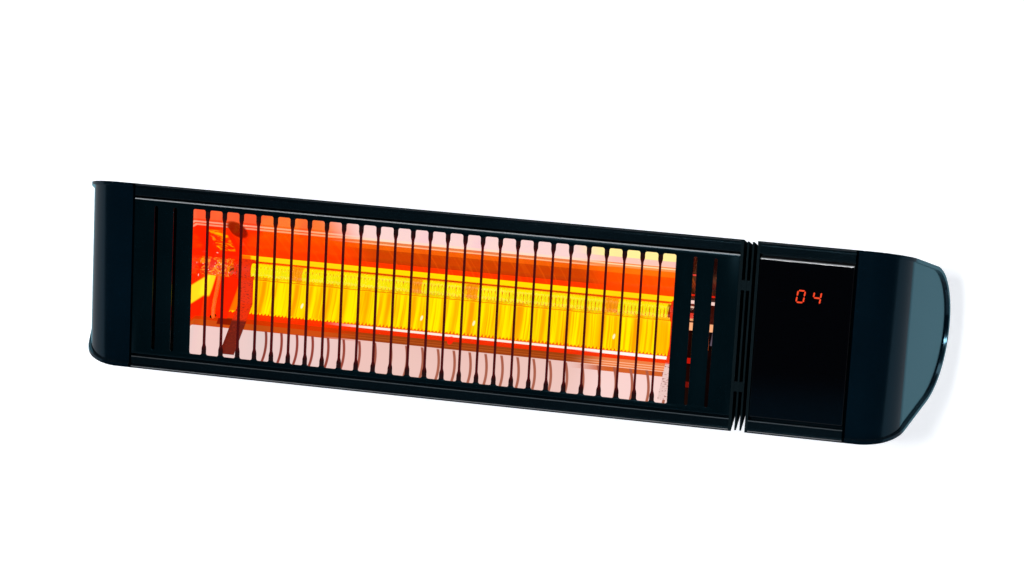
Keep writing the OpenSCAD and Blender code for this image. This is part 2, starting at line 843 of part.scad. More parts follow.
module flange_screws() {
    color([0.7, 0.7, 0.72]) in_body() for (s = [-1, 1])
        translate([0, port_d, s * port_z]) {
            screw_x(main_x0 - left_plate, plate_head_r, plate_head_h, port_bore - screw_gap / 2,
                plate_screw_l);
            mirror([1, 0, 0]) screw_x(-(main_x1 + flange_t - plate_head_h), plate_head_r, plate_head_h,
                port_bore - screw_gap / 2, plate_screw_l);
            mirror([1, 0, 0]) screw_x(-(module_x1 + right_plate), plate_head_r, plate_head_h,
                port_bore - screw_gap / 2, plate_screw_l);
        }
}

module tie_screws() {
    len = module_plate + break_l + flange_t + tie_nut_h + tie_r / 2;
    color([0.75, 0.75, 0.77]) in_body() for (h = tie_holes)
        translate([0, h[0], h[1]]) mirror([1, 0, 0])
            screw_x(-module_x0, tie_head_r, tie_head_h, tie_r, len);
}

module tie_nuts() {
    color([0.75, 0.75, 0.77]) in_body() for (h = tie_holes)
        translate([main_x1 - tie_nut_h, h[0], h[1]]) rotate([0, 90, 0]) difference() {
            cylinder(h = tie_nut_h, r = tie_nut_w / 2 / cos(30), $fn = 6);
            translate([0, 0, -over]) cylinder(h = tie_nut_h + 2 * over, r = tie_r + run_gap, $fn = fine_fn);
        }
}

// Tube that carries the lamp's leads through the thermal break
module wire_sleeve() {
    len = flange_t + break_l + module_plate + 2 * sleeve_proud;
    color([0.88, 0.86, 0.8]) in_body() translate([main_x1 - sleeve_proud, sleeve_d, sleeve_z]) difference() {
        rod_x(0, len, sleeve_r);
        rod_x(-over, len + 2 * over, sleeve_r - sleeve_wall);
    }
}

module display_glass() {
    color([0.01, 0.01, 0.02]) in_body() translate([module_x0 + glass_gap, 0, -glass_h / 2])
        cube([module_l - 2 * glass_gap, glass_t, glass_h]);
}

// Frame behind the glass, seated on the housing's shelves
module glass_carrier() {
    w = module_l - 2 * glass_gap;
    color([0.05, 0.05, 0.06]) in_body() difference() {
        translate([module_x0 + glass_gap, glass_t, -glass_h / 2]) cube([w, shelf_d - glass_t, glass_h]);
        translate([module_x0 + glass_gap + carrier_rib, glass_t - over, -glass_h / 2 + carrier_rib])
            cube([w - 2 * carrier_rib, shelf_d - glass_t + 2 * over, glass_h - 2 * carrier_rib]);
    }
}

board_face = glass_t + digit_d;

// Board of the display, wide enough to rest in the carrier
module display_board() {
    w = module_l - 2 * glass_gap - 2 * carrier_rib - fit_gap;
    color([0.05, 0.3, 0.12]) in_body() translate([module_mid - w / 2, board_face, display_z - display_h / 2])
        cube([w, board_t, display_h]);
}

module digit_module() {
    color([0.12, 0.02, 0.02]) in_body()
        translate([module_mid + digit_x - digit_w / 2, glass_t, display_z + digit_z - digit_h / 2])
            cube([digit_w, digit_d, digit_h]);
}

module remote_receiver() {
    color([0.1, 0.02, 0.08]) in_body() translate([module_mid, board_face, display_z + eye_z])
        rotate([90, 0, 0]) cylinder(h = eye_l - fit_gap, r = eye_r, $fn = fine_fn);
}

post_places = [for (y = [control_d + post_inset, control_d + control_w - post_inset])
    for (z = [control_low + post_inset, control_low + control_h - post_inset]) [y, z]];

module board_standoffs() {
    color([0.8, 0.7, 0.4]) in_body() for (p = post_places)
        translate([module_x0, p[0], p[1]]) difference() {
            rod_x(0, post_l, post_r);
            rod_x(post_l - board_screw_l, board_screw_l + over, post_bore);
        }
}

module control_board() {
    color([0.05, 0.3, 0.12]) in_body() difference() {
        translate([module_x0 + post_l, control_d, control_low]) cube([board_t, control_w, control_h]);
        for (p = post_places)
            translate([0, p[0], p[1]])
                rod_x(module_x0 + post_l - over, board_t + 2 * over, post_bore + screw_gap);
    }
}

module board_screws() {
    color([0.75, 0.75, 0.77]) in_body() for (p = post_places)
        translate([0, p[0], p[1]]) mirror([1, 0, 0])
            screw_x(-(module_x0 + post_l + board_t), board_screw_head, plate_head_h,
                post_bore - screw_gap / 2, board_t + board_screw_l - screw_gap);
}

board_top = module_x0 + post_l + board_t;
sink_y = control_d + supply_step[0] + control_w * 0.22;
block_y = control_d + supply_step[0] + supply_box[1] + sink_gap;
sink_fin = block_y - sink_gap - sink_y - sink_base;
sink_low = control_low + supply_step[1] + supply_box[2] + sink_gap;
sink_h = control_top - sink_gap - sink_low;

// Finned heat sink, its base square to the board
module heat_sink() {
    color([0.7, 0.72, 0.74]) in_body() translate([board_top, sink_y, sink_low]) {
        cube([sink_l, sink_base, sink_h]);
        for (i = [0 : sink_fins - 1])
            translate([0, sink_base, i * (sink_h - sink_fin_t) / (sink_fins - 1)])
                cube([sink_l, sink_fin, sink_fin_t]);
    }
}

module triac() {
    color([0.08, 0.08, 0.08]) in_body()
        translate([board_top, sink_y - triac_t, sink_low + (sink_h - triac_w) / 2])
            cube([triac_h, triac_t, triac_w]);
}

module transformer() {
    color([0.15, 0.2, 0.4]) in_body()
        translate([board_top, control_d + supply_step[0], control_low + supply_step[1]]) cube(supply_box);
}

block_d = control_d + control_w - block_back - block_y;

// Row of screw terminals on the control board
module terminal_block() {
    place = [board_top, block_y, control_low + supply_step[1]];
    color([0.85, 0.85, 0.8]) in_body() translate(place) difference() {
        cube([block_h, block_d, block_ways * block_pitch]);
        for (i = [0 : block_ways - 1])
            translate([0, block_d / 2, block_pitch * (i + 1 / 2)]) rod_x(block_h / 2, block_h, block_bore);
    }
}

// Leads: each leaves its lamp base downwards, dips through the trough and runs to the sleeve
lead_r = 1.6;
lead_sides = 8;
lead_gap = 1.9;
lead_in = 8;
lead_end = 6;
lead_bend = 9;
left_bow = 12;
right_bow = 4;
lane_out = 18;
function lead_x(side) = lamp_mid + side * (tube_l / 2 + base_gap + lead_in);
function lead_dip(lead) = lead[5];
lead_top = lamp_rise - base_d / 2 - fit_gap;
lane_d = lamp_depth - left_bow / 2;
lead_lane = (mirror_side(lane_d) + wall_z(lane_d, wall_t)) / 2;
left_fall = lead_lane + lead_top;
right_fall = lead_top - sleeve_z;
// Bend, bow and fall of each lead from its base to its lane
left_dip_shares = [
    [0, 0, 0], [0, 0.04, 0.08], [0, 0.33, 0.26], [0, 0.75, 0.47], [0, 0.96, 0.62],
    [0, 1, 0.75], [0.09, 0.95, 0.87], [0.44, 0.75, 0.97], [1, 0.54, 1]
];
right_dip_shares = [
    [0, 0, 0], [0, 0.08, 0.11], [0, 0.25, 0.3], [0, 0.42, 0.52], [0, 0.5, 0.64],
    [0, 0.5, 0.79], [0.17, 0.62, 0.91], [0.67, 1.25, 0.97]
];
left_dip = [for (s = left_dip_shares)
    [lead_x(-1) + s[0] * lead_bend, lamp_depth - s[1] * left_bow, lead_top - s[2] * left_fall]];
right_dip = [for (s = right_dip_shares)
    [lead_x(1) + s[0] * lead_bend, lamp_depth + s[1] * right_bow, lead_top - s[2] * right_fall]];
function lead_tail(shift) = [
    [main_x1 - sleeve_proud, sleeve_d + shift, sleeve_z],
    [module_x0 + sleeve_proud, sleeve_d + shift, sleeve_z],
    [module_x0 + sleeve_proud + lead_end, sleeve_d + shift, sleeve_z]
];
left_lead = concat(
    left_dip,
    [
        [lead_x(1), lane_d, -lead_lane],
        [main_x1 - lane_out, lamp_depth - left_bow / 3, -lead_lane],
        [main_x1 - lane_out / 2, sleeve_d - left_bow / 3, (sleeve_z - lead_lane) / 2]
    ],
    lead_tail(-lead_gap)
);
right_lead = concat(
    right_dip,
    [[lead_x(1) + lane_out * 4 / 5, sleeve_d + lead_gap / 2, sleeve_z]],
    lead_tail(lead_gap)
);

module lamp_leads() {
    color([0.85, 0.35, 0.1]) in_body() for (lead = [left_lead, right_lead])
        swept_tube(lead, lead_r, lead_sides, [[0.1, 1, 0.3]]);
}

// Cable inlet: flange outside, thread through the wall, lock nut inside
module cable_gland() {
    len = pad_d + gland_tail;
    color([0.05, 0.05, 0.05]) in_body() translate([module_mid, land_d, 0]) rotate([-90, 0, 0]) difference() {
        union() {
            cylinder(h = gland_flange_t, r = gland_flange_w / 2 / cos(30), $fn = 6);
            cylinder(h = gland_flange_t + gland_dome, r = gland_r + gland_flange_t / 4, $fn = round_fn);
            translate([0, 0, -len]) cylinder(h = len + over, r = gland_r, $fn = round_fn);
        }
        translate([0, 0, -len - over])
            cylinder(h = len + gland_flange_t + gland_dome + 2 * over, r = gland_bore, $fn = round_fn);
    }
}

module gland_nut() {
    color([0.05, 0.05, 0.05]) in_body()
        translate([module_mid, land_d - pad_d, 0]) rotate([90, 0, 0]) difference() {
        cylinder(h = gland_nut_t, r = gland_nut_w / 2 / cos(30), $fn = 6);
        translate([0, 0, -over]) cylinder(h = gland_nut_t + 2 * over, r = gland_r + run_gap, $fn = round_fn);
    }
}

// The switch's frame: origin on the outer face of the bottom wall, +Z into the module
module at_switch() {
    translate([module_mid, switch_depth, -wall_z(switch_depth, 0)]) rotate([wall_slope, 0, 0]) children();
}

module switch_body() {
    color([0.06, 0.06, 0.06]) in_body() at_switch() difference() {
        union() {
            translate([-switch_w / 2, -switch_l / 2, -over / 2])
                cube([switch_w, switch_l, switch_deep + over / 2]);
            translate([-switch_w / 2 - switch_flange, -switch_l / 2 - switch_flange, -switch_flange_t])
                cube([switch_w + 2 * switch_flange, switch_l + 2 * switch_flange, switch_flange_t]);
        }
        translate([-switch_w / 2 + switch_wall, -switch_l / 2 + switch_wall, -switch_flange_t - over])
            cube([switch_w - 2 * switch_wall, switch_l - 2 * switch_wall,
                switch_flange_t + over + rocker_sink + rocker_root + rocker_gap]);
        translate([0, 0, rocker_sink]) rod_x(-switch_w / 2 - over, switch_w + 2 * over, rocker_pin + run_gap);
    }
}

// The rocker, pressed down at its rear end: round root and two sloping pads about the pin
module switch_rocker() {
    w = switch_w - 2 * switch_wall - 2 * rocker_gap;
    reach = switch_l / 2 - switch_wall - rocker_gap - rocker_rise / 2;
    color([0.1, 0.1, 0.1]) in_body() at_switch() translate([0, 0, rocker_sink]) rotate([rocker_swing, 0, 0]) {
        along_x(-w / 2, w) {
            circle(r = rocker_root - rocker_gap, $fn = round_fn);
            polygon([[-reach, 0], [-reach, -rocker_sink - rocker_rise], [0, -rocker_sink - rocker_rise / 2],
                [reach, -rocker_sink - rocker_rise], [reach, 0]]);
        }
        rod_x(-switch_w / 2, switch_w, rocker_pin);
    }
}

module tilt_bracket() {
    color([0.1, 0.1, 0.11]) in_body() difference() {
        union() {
            translate([-cheek_out, land_d, -tilt_h / 2]) cube([bracket_w, bracket_t, tilt_h]);
            both_x() translate([cheek_out - bracket_t, land_d, 0]) {
                translate([0, 0, -tilt_h / 2]) cube([bracket_t, pivot_reach, tilt_h]);
                translate([0, pivot_reach, 0]) rod_x(0, bracket_t, tilt_h / 2, round_fn);
            }
        }
        translate([0, land_d + pivot_reach, 0])
            rod_x(-cheek_out - over, bracket_w + 2 * over, pivot_d / 2 + run_gap, round_fn);
        for (s = [-1, 1])
            translate([s * rail_bolt_x, land_d - over, 0]) rotate([-90, 0, 0])
                cylinder(h = bracket_t + 2 * over, r = rail_bolt_d / 2 + screw_gap, $fn = round_fn);
    }
}

// Hammer-head bolts that slide in the housing's rear slot
module rail_bolts() {
    len = tslot_lip + bracket_t + rail_nut_h + rail_bolt_d / 2;
    color([0.72, 0.72, 0.74]) in_body() for (s = [-1, 1])
        translate([s * rail_bolt_x, land_d - tslot_lip, 0]) {
            translate([-rail_head / 2, -rail_head_h, -rail_head / 2])
                cube([rail_head, rail_head_h, rail_head]);
            translate([0, -rail_head_h / 2, 0]) rotate([-90, 0, 0])
                cylinder(h = len + rail_head_h / 2, r = rail_bolt_d / 2, $fn = fine_fn);
        }
}

module rail_nuts() {
    color([0.72, 0.72, 0.74]) in_body() for (s = [-1, 1])
        translate([s * rail_bolt_x, land_d + bracket_t, 0]) rotate([-90, 0, 0]) difference() {
            union() {
                cylinder(h = rail_flange_t, r = rail_flange_r, $fn = round_fn);
                cylinder(h = rail_nut_h, r = rail_nut_w / 2 / cos(30), $fn = 6);
            }
            translate([0, 0, -over])
                cylinder(h = rail_nut_h + 2 * over, r = rail_bolt_d / 2 + run_gap, $fn = fine_fn);
        }
}

// A cheek that narrows from the wall to a round eye, as distance from the wall and height
module cheek_section() {
    far = norm([wall_reach, lug_base]);
    lean = 180 - atan(lug_base / wall_reach) - acos(lug_r / far);
    eye = [wall_reach + lug_r * cos(lean), lug_r * sin(lean)];
    polygon([[0, lug_base], eye, [eye[0], -eye[1]], [0, -lug_base]]);
    translate([wall_reach, 0]) circle(r = lug_r, $fn = round_fn);
}

module wall_bracket() {
    w = 2 * (wall_cheek + bracket_t);
    color([0.1, 0.1, 0.11]) difference() {
        union() {
            translate([-w / 2, -bracket_t, -plate_h / 2]) cube([w, bracket_t, plate_h]);
            both_x() mirror([0, 1, 0]) along_x(wall_cheek, bracket_t) cheek_section();
        }
        translate([0, pivot_y, 0])
            rod_x(-w / 2 - over, w + 2 * over, pivot_d / 2 + screw_gap, round_fn);
        for (x = [-1, 1])
            for (z = [-1, 1])
                translate([x * wall_hole_x / 2, over, z * wall_hole_z / 2]) rotate([90, 0, 0])
                    cylinder(h = bracket_t + 2 * over, r = wall_hole_d / 2, $fn = round_fn);
    }
}

module pivot_bolts() {
    head_x = wall_cheek + bracket_t;
    tip_x = cheek_out - bracket_t - face_gap - pivot_nut_h - pivot_d / 4;
    color([0.72, 0.72, 0.74]) both_x() translate([0, pivot_y, 0]) {
        translate([head_x, 0, 0]) rotate([0, 90, 0])
            cylinder(h = pivot_head_h, r = pivot_head_w / 2 / cos(30), $fn = 6);
        rod_x(tip_x, head_x - tip_x + pivot_head_h / 2, pivot_d / 2, round_fn);
    }
}

module pivot_nuts() {
    x = cheek_out - bracket_t - face_gap - pivot_nut_h;
    color([0.72, 0.72, 0.74]) both_x() translate([x, pivot_y, 0]) rotate([0, 90, 0]) difference() {
        cylinder(h = pivot_nut_h, r = pivot_head_w / 2 / cos(30), $fn = 6);
        translate([0, 0, -over])
            cylinder(h = pivot_nut_h + 2 * over, r = pivot_d / 2 + run_gap, $fn = round_fn);
    }
}

module friction_washers() {
    color([0.85, 0.85, 0.8]) both_x() translate([0, pivot_y, 0]) difference() {
        rod_x(cheek_out + face_gap, washer_t, washer_r, round_fn);
        rod_x(cheek_out - over, washer_t + 2 * over, pivot_d / 2 + screw_gap, round_fn);
    }
}

main_housing();
front_grille();
reflector();
reflector_ends();
reflector_brackets();
lamp_tube();
filament();
filament_supports();
lamp_bases();
lamp_holders();
lamp_clips();
left_end_cap();
right_end_cap();
left_bulkhead();
main_flange();
cooling_fins();
module_flange();
module_housing();
right_bulkhead();
display_glass();
glass_carrier();
wire_sleeve();
lamp_leads();
tie_screws();
tie_nuts();
flange_screws();
cap_screws();
display_board();
digit_module();
remote_receiver();
control_board();
board_standoffs();
board_screws();
triac();
heat_sink();
transformer();
terminal_block();
switch_body();
switch_rocker();
cable_gland();
gland_nut();
tilt_bracket();
rail_bolts();
rail_nuts();
wall_bracket();
pivot_bolts();
pivot_nuts();
friction_washers();
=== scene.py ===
"""Dresses the electric bar heater: fine forms, finishes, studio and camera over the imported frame."""

import json
import logging
import math
from dataclasses import dataclass, field
from enum import Enum
from typing import Any, ClassVar, Sequence

import bmesh
import bpy
from mathutils import Matrix, Vector


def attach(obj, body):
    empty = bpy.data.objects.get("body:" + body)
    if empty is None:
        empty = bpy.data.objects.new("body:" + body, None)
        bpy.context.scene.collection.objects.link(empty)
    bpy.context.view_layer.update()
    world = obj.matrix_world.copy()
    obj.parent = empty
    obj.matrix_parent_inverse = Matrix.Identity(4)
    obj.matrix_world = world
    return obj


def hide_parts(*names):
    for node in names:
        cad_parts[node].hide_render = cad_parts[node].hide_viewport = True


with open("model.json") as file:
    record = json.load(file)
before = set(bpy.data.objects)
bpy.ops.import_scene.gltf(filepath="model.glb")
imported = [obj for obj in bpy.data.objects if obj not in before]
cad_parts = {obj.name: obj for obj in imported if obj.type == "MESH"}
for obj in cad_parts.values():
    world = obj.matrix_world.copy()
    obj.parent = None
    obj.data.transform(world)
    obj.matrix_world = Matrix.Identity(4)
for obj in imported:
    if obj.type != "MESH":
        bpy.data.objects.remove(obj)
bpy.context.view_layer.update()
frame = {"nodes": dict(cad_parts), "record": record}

log = logging.getLogger("bar_heater")

Colour = tuple[float, float, float]
Point = tuple[float, float, float]
Span = tuple[float, float]
Bands = tuple[tuple[float, int], ...]
Node = bpy.types.Node
Socket = bpy.types.NodeSocket
Tree = bpy.types.NodeTree
Mesh = bpy.types.Mesh
Made = bpy.types.Object

MM = 0.001


def srgb(code: int) -> Colour:
    """Turns a display colour, as a code of two hexadecimal digits each, into a shader's linear one."""
    shares = ((code >> shift & 255) / 255 for shift in (16, 8, 0))
    return tuple(s / 12.92 if s <= 0.04045 else ((s + 0.055) / 1.055) ** 2.4 for s in shares)


def scaled(colour: Colour, share: float, extra: float = 0.0) -> Colour:
    """A colour times a share, with a little added."""
    return tuple(share * part + extra for part in colour)


def placed(name: str, data: Any) -> Made:
    """Makes an object of a mesh, curve, light or camera and links it to the scene."""
    made = bpy.data.objects.new(name, data)
    bpy.context.scene.collection.objects.link(made)
    return made


def mesh_of(work: bmesh.types.BMesh, name: str) -> Mesh:
    """Turns a finished working mesh into a plain one and frees it."""
    mesh = bpy.data.meshes.new(name)
    work.to_mesh(mesh)
    work.free()
    return mesh


def prism(work: bmesh.types.BMesh, *ends: Sequence[Point]) -> list[bmesh.types.BMFace]:
    """Joins two equal outlines into a closed body.

    Args:
        work: The mesh under construction.
        *ends: The points of the first and of the second outline.

    Returns:
        The side faces, from the outline's first edge on.
    """
    near, far = ([work.verts.new(point) for point in end] for end in ends)
    corners = zip(near, near[1:] + near[:1], far[1:] + far[:1], far)
    sides = [work.faces.new(four) for four in corners]
    work.faces.new(near)
    work.faces.new(far[::-1])
    return sides


class Slot(Enum):
    """Finish slots of the record."""

    HOUSING = "housing_coat"
    PANEL = "panel_coat"
    CAP = "cap_coat"
    PLATE = "plate_coat"
    BRACKET = "bracket_coat"
    MIRROR = "mirror_sheet"
    QUARTZ = "quartz"
    COIL = "hot_coil"
    RING = "coil_ring"
    CERAMIC = "ceramic"
    LEAD = "lead_sleeve"
    ZINC = "zinc_steel"
    GLASS = "black_glass"
    BLACK = "black_plastic"
    WHITE = "white_plastic"
    BLUE = "blue_plastic"
    BOARD = "board_green"
    DIGIT = "digit_red"
    BRASS = "brass"
    ALUMINIUM = "bare_aluminium"


class Look(Enum):
    """Finishes of single parts that differ from the rest of their slot."""

    BLADE = "blade_edge"
    # near-black coat on the bulkheads, a painted shade that makes the grooves beside the caps read dark
    SEAM = "seam_plate"
    # clip with a painted reflection and painted shade, as glow
    CLIP = "hot_clip"
    FIN = "fin_edge"
    # lamp base with painted glints and painted shade, as glow
    BASE = "worked_base"


@dataclass(frozen=True)
class BodySize:
    """Stations of the heater, in metres, in the shared frame.

    Attributes:
        front: Y of the front edge.
        main: Ends of the main housing along X.
        panel_height: Height of the grille panel.
        sheet: Thickness of the grille's sheet.
    """

    front: float = -0.184367
    main: Span = (-0.2656, 0.18459)
    panel_height: float = 0.118
    sheet: float = 0.001

    def y(self, depth: float) -> float:
        """Y of a depth behind the front edge."""
        return self.front + depth


SIZE = BodySize()


class Graph:
    """A node tree under construction."""

    def __init__(self, tree: Tree) -> None:
        """Starts on a tree."""
        self.tree = tree

    def node(self, kind: str, inputs: dict[Any, Any] | None = None, **settings: Any) -> Node:
        """Adds a node.

        Args:
            kind: The node's type name.
            inputs: Values or sockets for its inputs, by name or index.
            **settings: Values of its properties.

        Returns:
            The new node.
        """
        made = self.tree.nodes.new(kind)
        for key, value in settings.items():
            setattr(made, key, value)
        self.fill(made, inputs or {})
        return made

    def fill(self, node: Node, inputs: dict[Any, Any]) -> None:
        """Sets a node's inputs.

        Args:
            node: The node.
            inputs: A value, a colour, a socket or a node for each input, by name or index.
        """
        for key, value in inputs.items():
            socket = node.inputs[key]
            if isinstance(value, Node):
                value = value.outputs[0]
            if isinstance(value, Socket):
                self.tree.links.new(value, socket)
            else:
                socket.default_value = (*value, 1.0) if socket.type == "RGBA" else value

    def math(self, operation: str, *terms: Any, clamp: bool = False) -> Socket:
        """Adds a Math node over its terms and returns its value."""
        given = dict(enumerate(terms))
        return self.node("ShaderNodeMath", given, operation=operation, use_clamp=clamp).outputs[0]

    def times(self, first: Any, second: Any) -> Socket:
        """Multiplies two values."""
        return self.math("MULTIPLY", first, second)

    def spread(self, value: Any, low: float, high: float, to_high: float = 1.0) -> Socket:
        """Maps a range smoothly onto 0 to 1, or to another top."""
        span = {"Value": value, "From Min": low, "From Max": high, "To Min": 0.0, "To Max": to_high}
        return self.node("ShaderNodeMapRange", span, interpolation_type="SMOOTHSTEP").outputs[0]

    def mix(self, factor: Any, first: Any, second: Any) -> Socket:
        """Mixes two colours."""
        parts = {0: factor, 6: first, 7: second}
        return self.node("ShaderNodeMix", parts, data_type="RGBA", clamp_factor=True).outputs[2]

    def noise(self, vector: Any, scale: Any, detail: float = 2.0, **more: float) -> Socket:
        """Adds a noise texture and returns its value."""
        given = {"Vector": vector, "Scale": scale, "Detail": detail, **more}
        return self.node("ShaderNodeTexNoise", given).outputs[0]

    def between(self, value: Any, span: Span, soft: float = 0.4) -> Socket:
        """Mask that is 1 over a span, with soft edges."""
        low, high = span
        rising = self.spread(value, low - soft, low + soft)
        return self.times(rising, self.spread(value, high + soft, high - soft))

    def along(self, axis: str, kind: str = "Object") -> Socket:
        """One axis of a texture coordinate."""
        return self.node("ShaderNodeSeparateXYZ", {0: self.coordinate(kind)}).outputs[axis]

    def coordinate(self, kind: str = "Object") -> Socket:
        """A texture coordinate."""
        return self.node("ShaderNodeTexCoord").outputs[kind]


class Effect(Graph):
    """Shader group that several finishes share; each method says what one of them holds."""

    def __init__(self, name: str) -> None:
        """Builds the group whose method has this name."""
        super().__init__(bpy.data.node_groups.new(name, "ShaderNodeTree"))
        sockets = self.tree.interface
        for key in ("Scale", "Amount"):
            sockets.new_socket(key, in_out="INPUT", socket_type="NodeSocketFloat")
        self.scale, self.amount = self.node("NodeGroupInput").outputs[:2]
        self.where = self.coordinate()
        made: dict[str, Socket] = getattr(self, name)()
        for key in made:
            sockets.new_socket(key, in_out="OUTPUT", socket_type="NodeSocketFloat")
        self.node("NodeGroupOutput", made)

    def grain(self) -> dict[str, Socket]:
        """Pebbled powder coat, with the grains in a metre as scale: its height and bright flecks."""
        given = {"Vector": self.where, "Scale": self.scale}
        pebble = self.node("ShaderNodeTexVoronoi", given, feature="SMOOTH_F1").outputs["Distance"]
        height = self.math("MULTIPLY_ADD", pebble, 0.45, self.noise(self.where, self.scale))
        fine = self.noise(self.where, self.times(self.scale, 1.4))
        return {"Height": height, "Fleck": self.spread(fine, 0.6, 0.74)}

    def cloud(self) -> dict[str, Socket]:
        """Slow change of tone over a surface."""
        return {"Tone": self.spread(self.noise(self.where, self.scale, 4.0, Roughness=0.6), 0.3, 0.7)}

    def dust(self) -> dict[str, Socket]:
        """Dust that has settled on faces which look up, by its amount."""
        speck = self.spread(self.noise(self.where, 900.0, 3.0), 0.4, 0.75)
        lying = self.times(self.spread(self.along("Z", "Normal"), 0.55, 1.0), speck)
        return {"Mask": self.times(lying, self.amount)}

    def scratch(self) -> dict[str, Socket]:
        """Fine drawn lines along X, as on rolled sheet, with their stretch as amount."""
        x, y, z = self.node("ShaderNodeSeparateXYZ", {0: self.where}).outputs
        drawn = self.node("ShaderNodeCombineXYZ", {0: self.times(x, self.amount), 1: y, 2: z})
        return {"Line": self.noise(drawn, self.scale, 3.0)}

    def sparkle(self) -> dict[str, Socket]:
        """Painted broken bright spots and glints, as light makes in worked quartz."""
        bent = self.noise(self.where, self.scale, 2.0, Distortion=2.4)
        given = {"Vector": self.where, "Scale": self.times(self.scale, 2.2)}
        spots = self.node("ShaderNodeTexVoronoi", given).outputs["Distance"]
        return {"Glow": self.spread(bent, 0.42, 0.66), "Spark": self.spread(spots, 0.2, 0.08)}


class MaterialTree(Graph):
    """Tree of a new material with its Principled BSDF."""

    effects: ClassVar[dict[str, Tree]] = {}

    def __init__(self, name: str) -> None:
        """Makes the material under a name."""
        self.material = bpy.data.materials.new(name)
        self.material.use_nodes = True
        super().__init__(self.material.node_tree)
        self.shader = self.tree.nodes["Principled BSDF"]

    def effect(self, name: str, scale: float = 1.0, amount: float = 1.0) -> Node:
        """Places a shared effect, which is built on first use.

        Args:
            name: Its name.
            scale: Its scale here.
            amount: Its amount here.

        Returns:
            The group's node.
        """
        if name not in self.effects:
            self.effects[name] = Effect(name).tree
        return self.node("ShaderNodeGroup", {"Scale": scale, "Amount": amount}, node_tree=self.effects[name])

    def surface(self, colour: Any, roughness: Any, gloss: float = 0.5, **more: Any) -> None:
        """Sets the shader's main inputs.

        Args:
            colour: Base colour.
            roughness: Roughness.
            gloss: Specular level.
            **more: Further inputs, with _ for a space.
        """
        named = {key.replace("_", " "): value for key, value in more.items()}
        level = {"Base Color": colour, "Roughness": roughness, "Specular IOR Level": gloss}
        self.fill(self.shader, level | named)

    def glow(self, colour: Any, strength: float = 1.0) -> None:
        """Gives the surface a light of its own."""
        self.fill(self.shader, {"Emission Color": colour, "Emission Strength": strength})

    def bump(self, height: Any, distance: float, strength: float = 0.5) -> None:
        """Raises the surface by a height."""
        raised = self.node("ShaderNodeBump", {"Strength": strength, "Distance": distance, "Height": height})
        self.fill(self.shader, {"Normal": raised})

    def rough(self, mask: Any, gain: float, least: float) -> Socket:
        """Roughness that grows with a mask."""
        return self.math("MULTIPLY_ADD", mask, gain, least)

    def lit_edge(self) -> Socket:
        """Mask of the rounded edges that look up, where a highlight is painted."""
        rounded = self.node("ShaderNodeAttribute", attribute_name="edge").outputs["Fac"]
        return self.times(rounded, self.spread(self.along("Z", "Normal"), 0.15, 0.6))


class Finish:
    """A finish of the heater."""

    def build(self, name: str) -> bpy.types.Material:
        """Builds the finish's material under a name."""
        tree = MaterialTree(name)
        self.paint(tree)
        return tree.material

    def paint(self, tree: MaterialTree) -> None:
        """Fills the material; each finish has its own way.

        Args:
            tree: The material's tree.
        """
        raise NotImplementedError


@dataclass(frozen=True)
class Coat(Finish):
    """Powder coat or satin lacquer.

    Attributes:
        colour: Base colour.
        roughness: Middle roughness.
        grains: Grains in a metre.
        bump: Height of the grain.
        fleck: How much the flecks lighten the coat.
        painted_edge_highlight: Colour of the painted highlight on rounded edges that look up.
        gloss: Specular level.
        painted_lamplight: Painted lamplight, given as glow, over the middle of its height.
        lines: Heights and strengths of its painted highlight lines along the bead edges, on the front edge
            alone.
    """

    colour: Colour
    roughness: float = 0.42
    grains: float = 2600.0
    bump: float = 0.00003
    fleck: float = 0.12
    painted_edge_highlight: Colour = (0.03, 0.034, 0.036)
    gloss: float = 0.2
    painted_lamplight: Colour | None = None
    lines: tuple[Span, ...] = ()

    DUST: ClassVar[float] = 0.05
    DUST_COLOUR: ClassVar[Colour] = (0.2, 0.2, 0.19)
    TINT: ClassVar[Colour] = (0.35, 0.75, 1.0)
    LAMPLIGHT: ClassVar[Span] = (0.0515, 0.045)  # half heights where it is gone and where it is full

    def front_line(self, tree: MaterialTree, height: float) -> Socket:
        """Mask of a thin line along the front edge at a height, where a highlight line is painted."""
        level = tree.between(tree.along("Z"), (height - 0.0003, height + 0.0003), 0.0001)
        return tree.times(level, tree.spread(tree.along("Y"), SIZE.y(0.0025), SIZE.y(0.002)))

    def paint(self, tree: MaterialTree) -> None:
        """Grain, flecks, slow tone, dust, painted highlights on upward edges and along the beads, and painted
        lamplight where given.
        """
        grain, tone = tree.effect("grain", self.grains), tree.effect("cloud", 14.0)
        base = tree.mix(tone, scaled(self.colour, 0.75), self.colour)
        base = tree.mix(tree.times(grain.outputs["Fleck"], self.fleck), base, scaled(self.colour, 5.0, 0.002))
        # painted highlight on the rounded edges that look up
        base = tree.mix(tree.lit_edge(), base, self.painted_edge_highlight)
        base = tree.mix(tree.effect("dust", amount=self.DUST), base, self.DUST_COLOUR)
        # painted highlight lines along the beads' front edges
        for height, strength in self.lines:
            base = tree.mix(tree.times(self.front_line(tree, height), strength), base, self.painted_edge_highlight)
        rough = tree.rough(tone, 0.04, self.roughness - 0.02)
        tree.surface(base, rough, self.gloss, Specular_Tint=self.TINT)
        tree.bump(grain.outputs["Height"], self.bump, 0.6)
        # painted lamplight: the lamp's light on the coat, given as glow
        if self.painted_lamplight:
            inner = tree.spread(tree.math("ABSOLUTE", tree.along("Z")), *self.LAMPLIGHT)
            tree.glow(tree.mix(inner, self.colour, self.painted_lamplight))


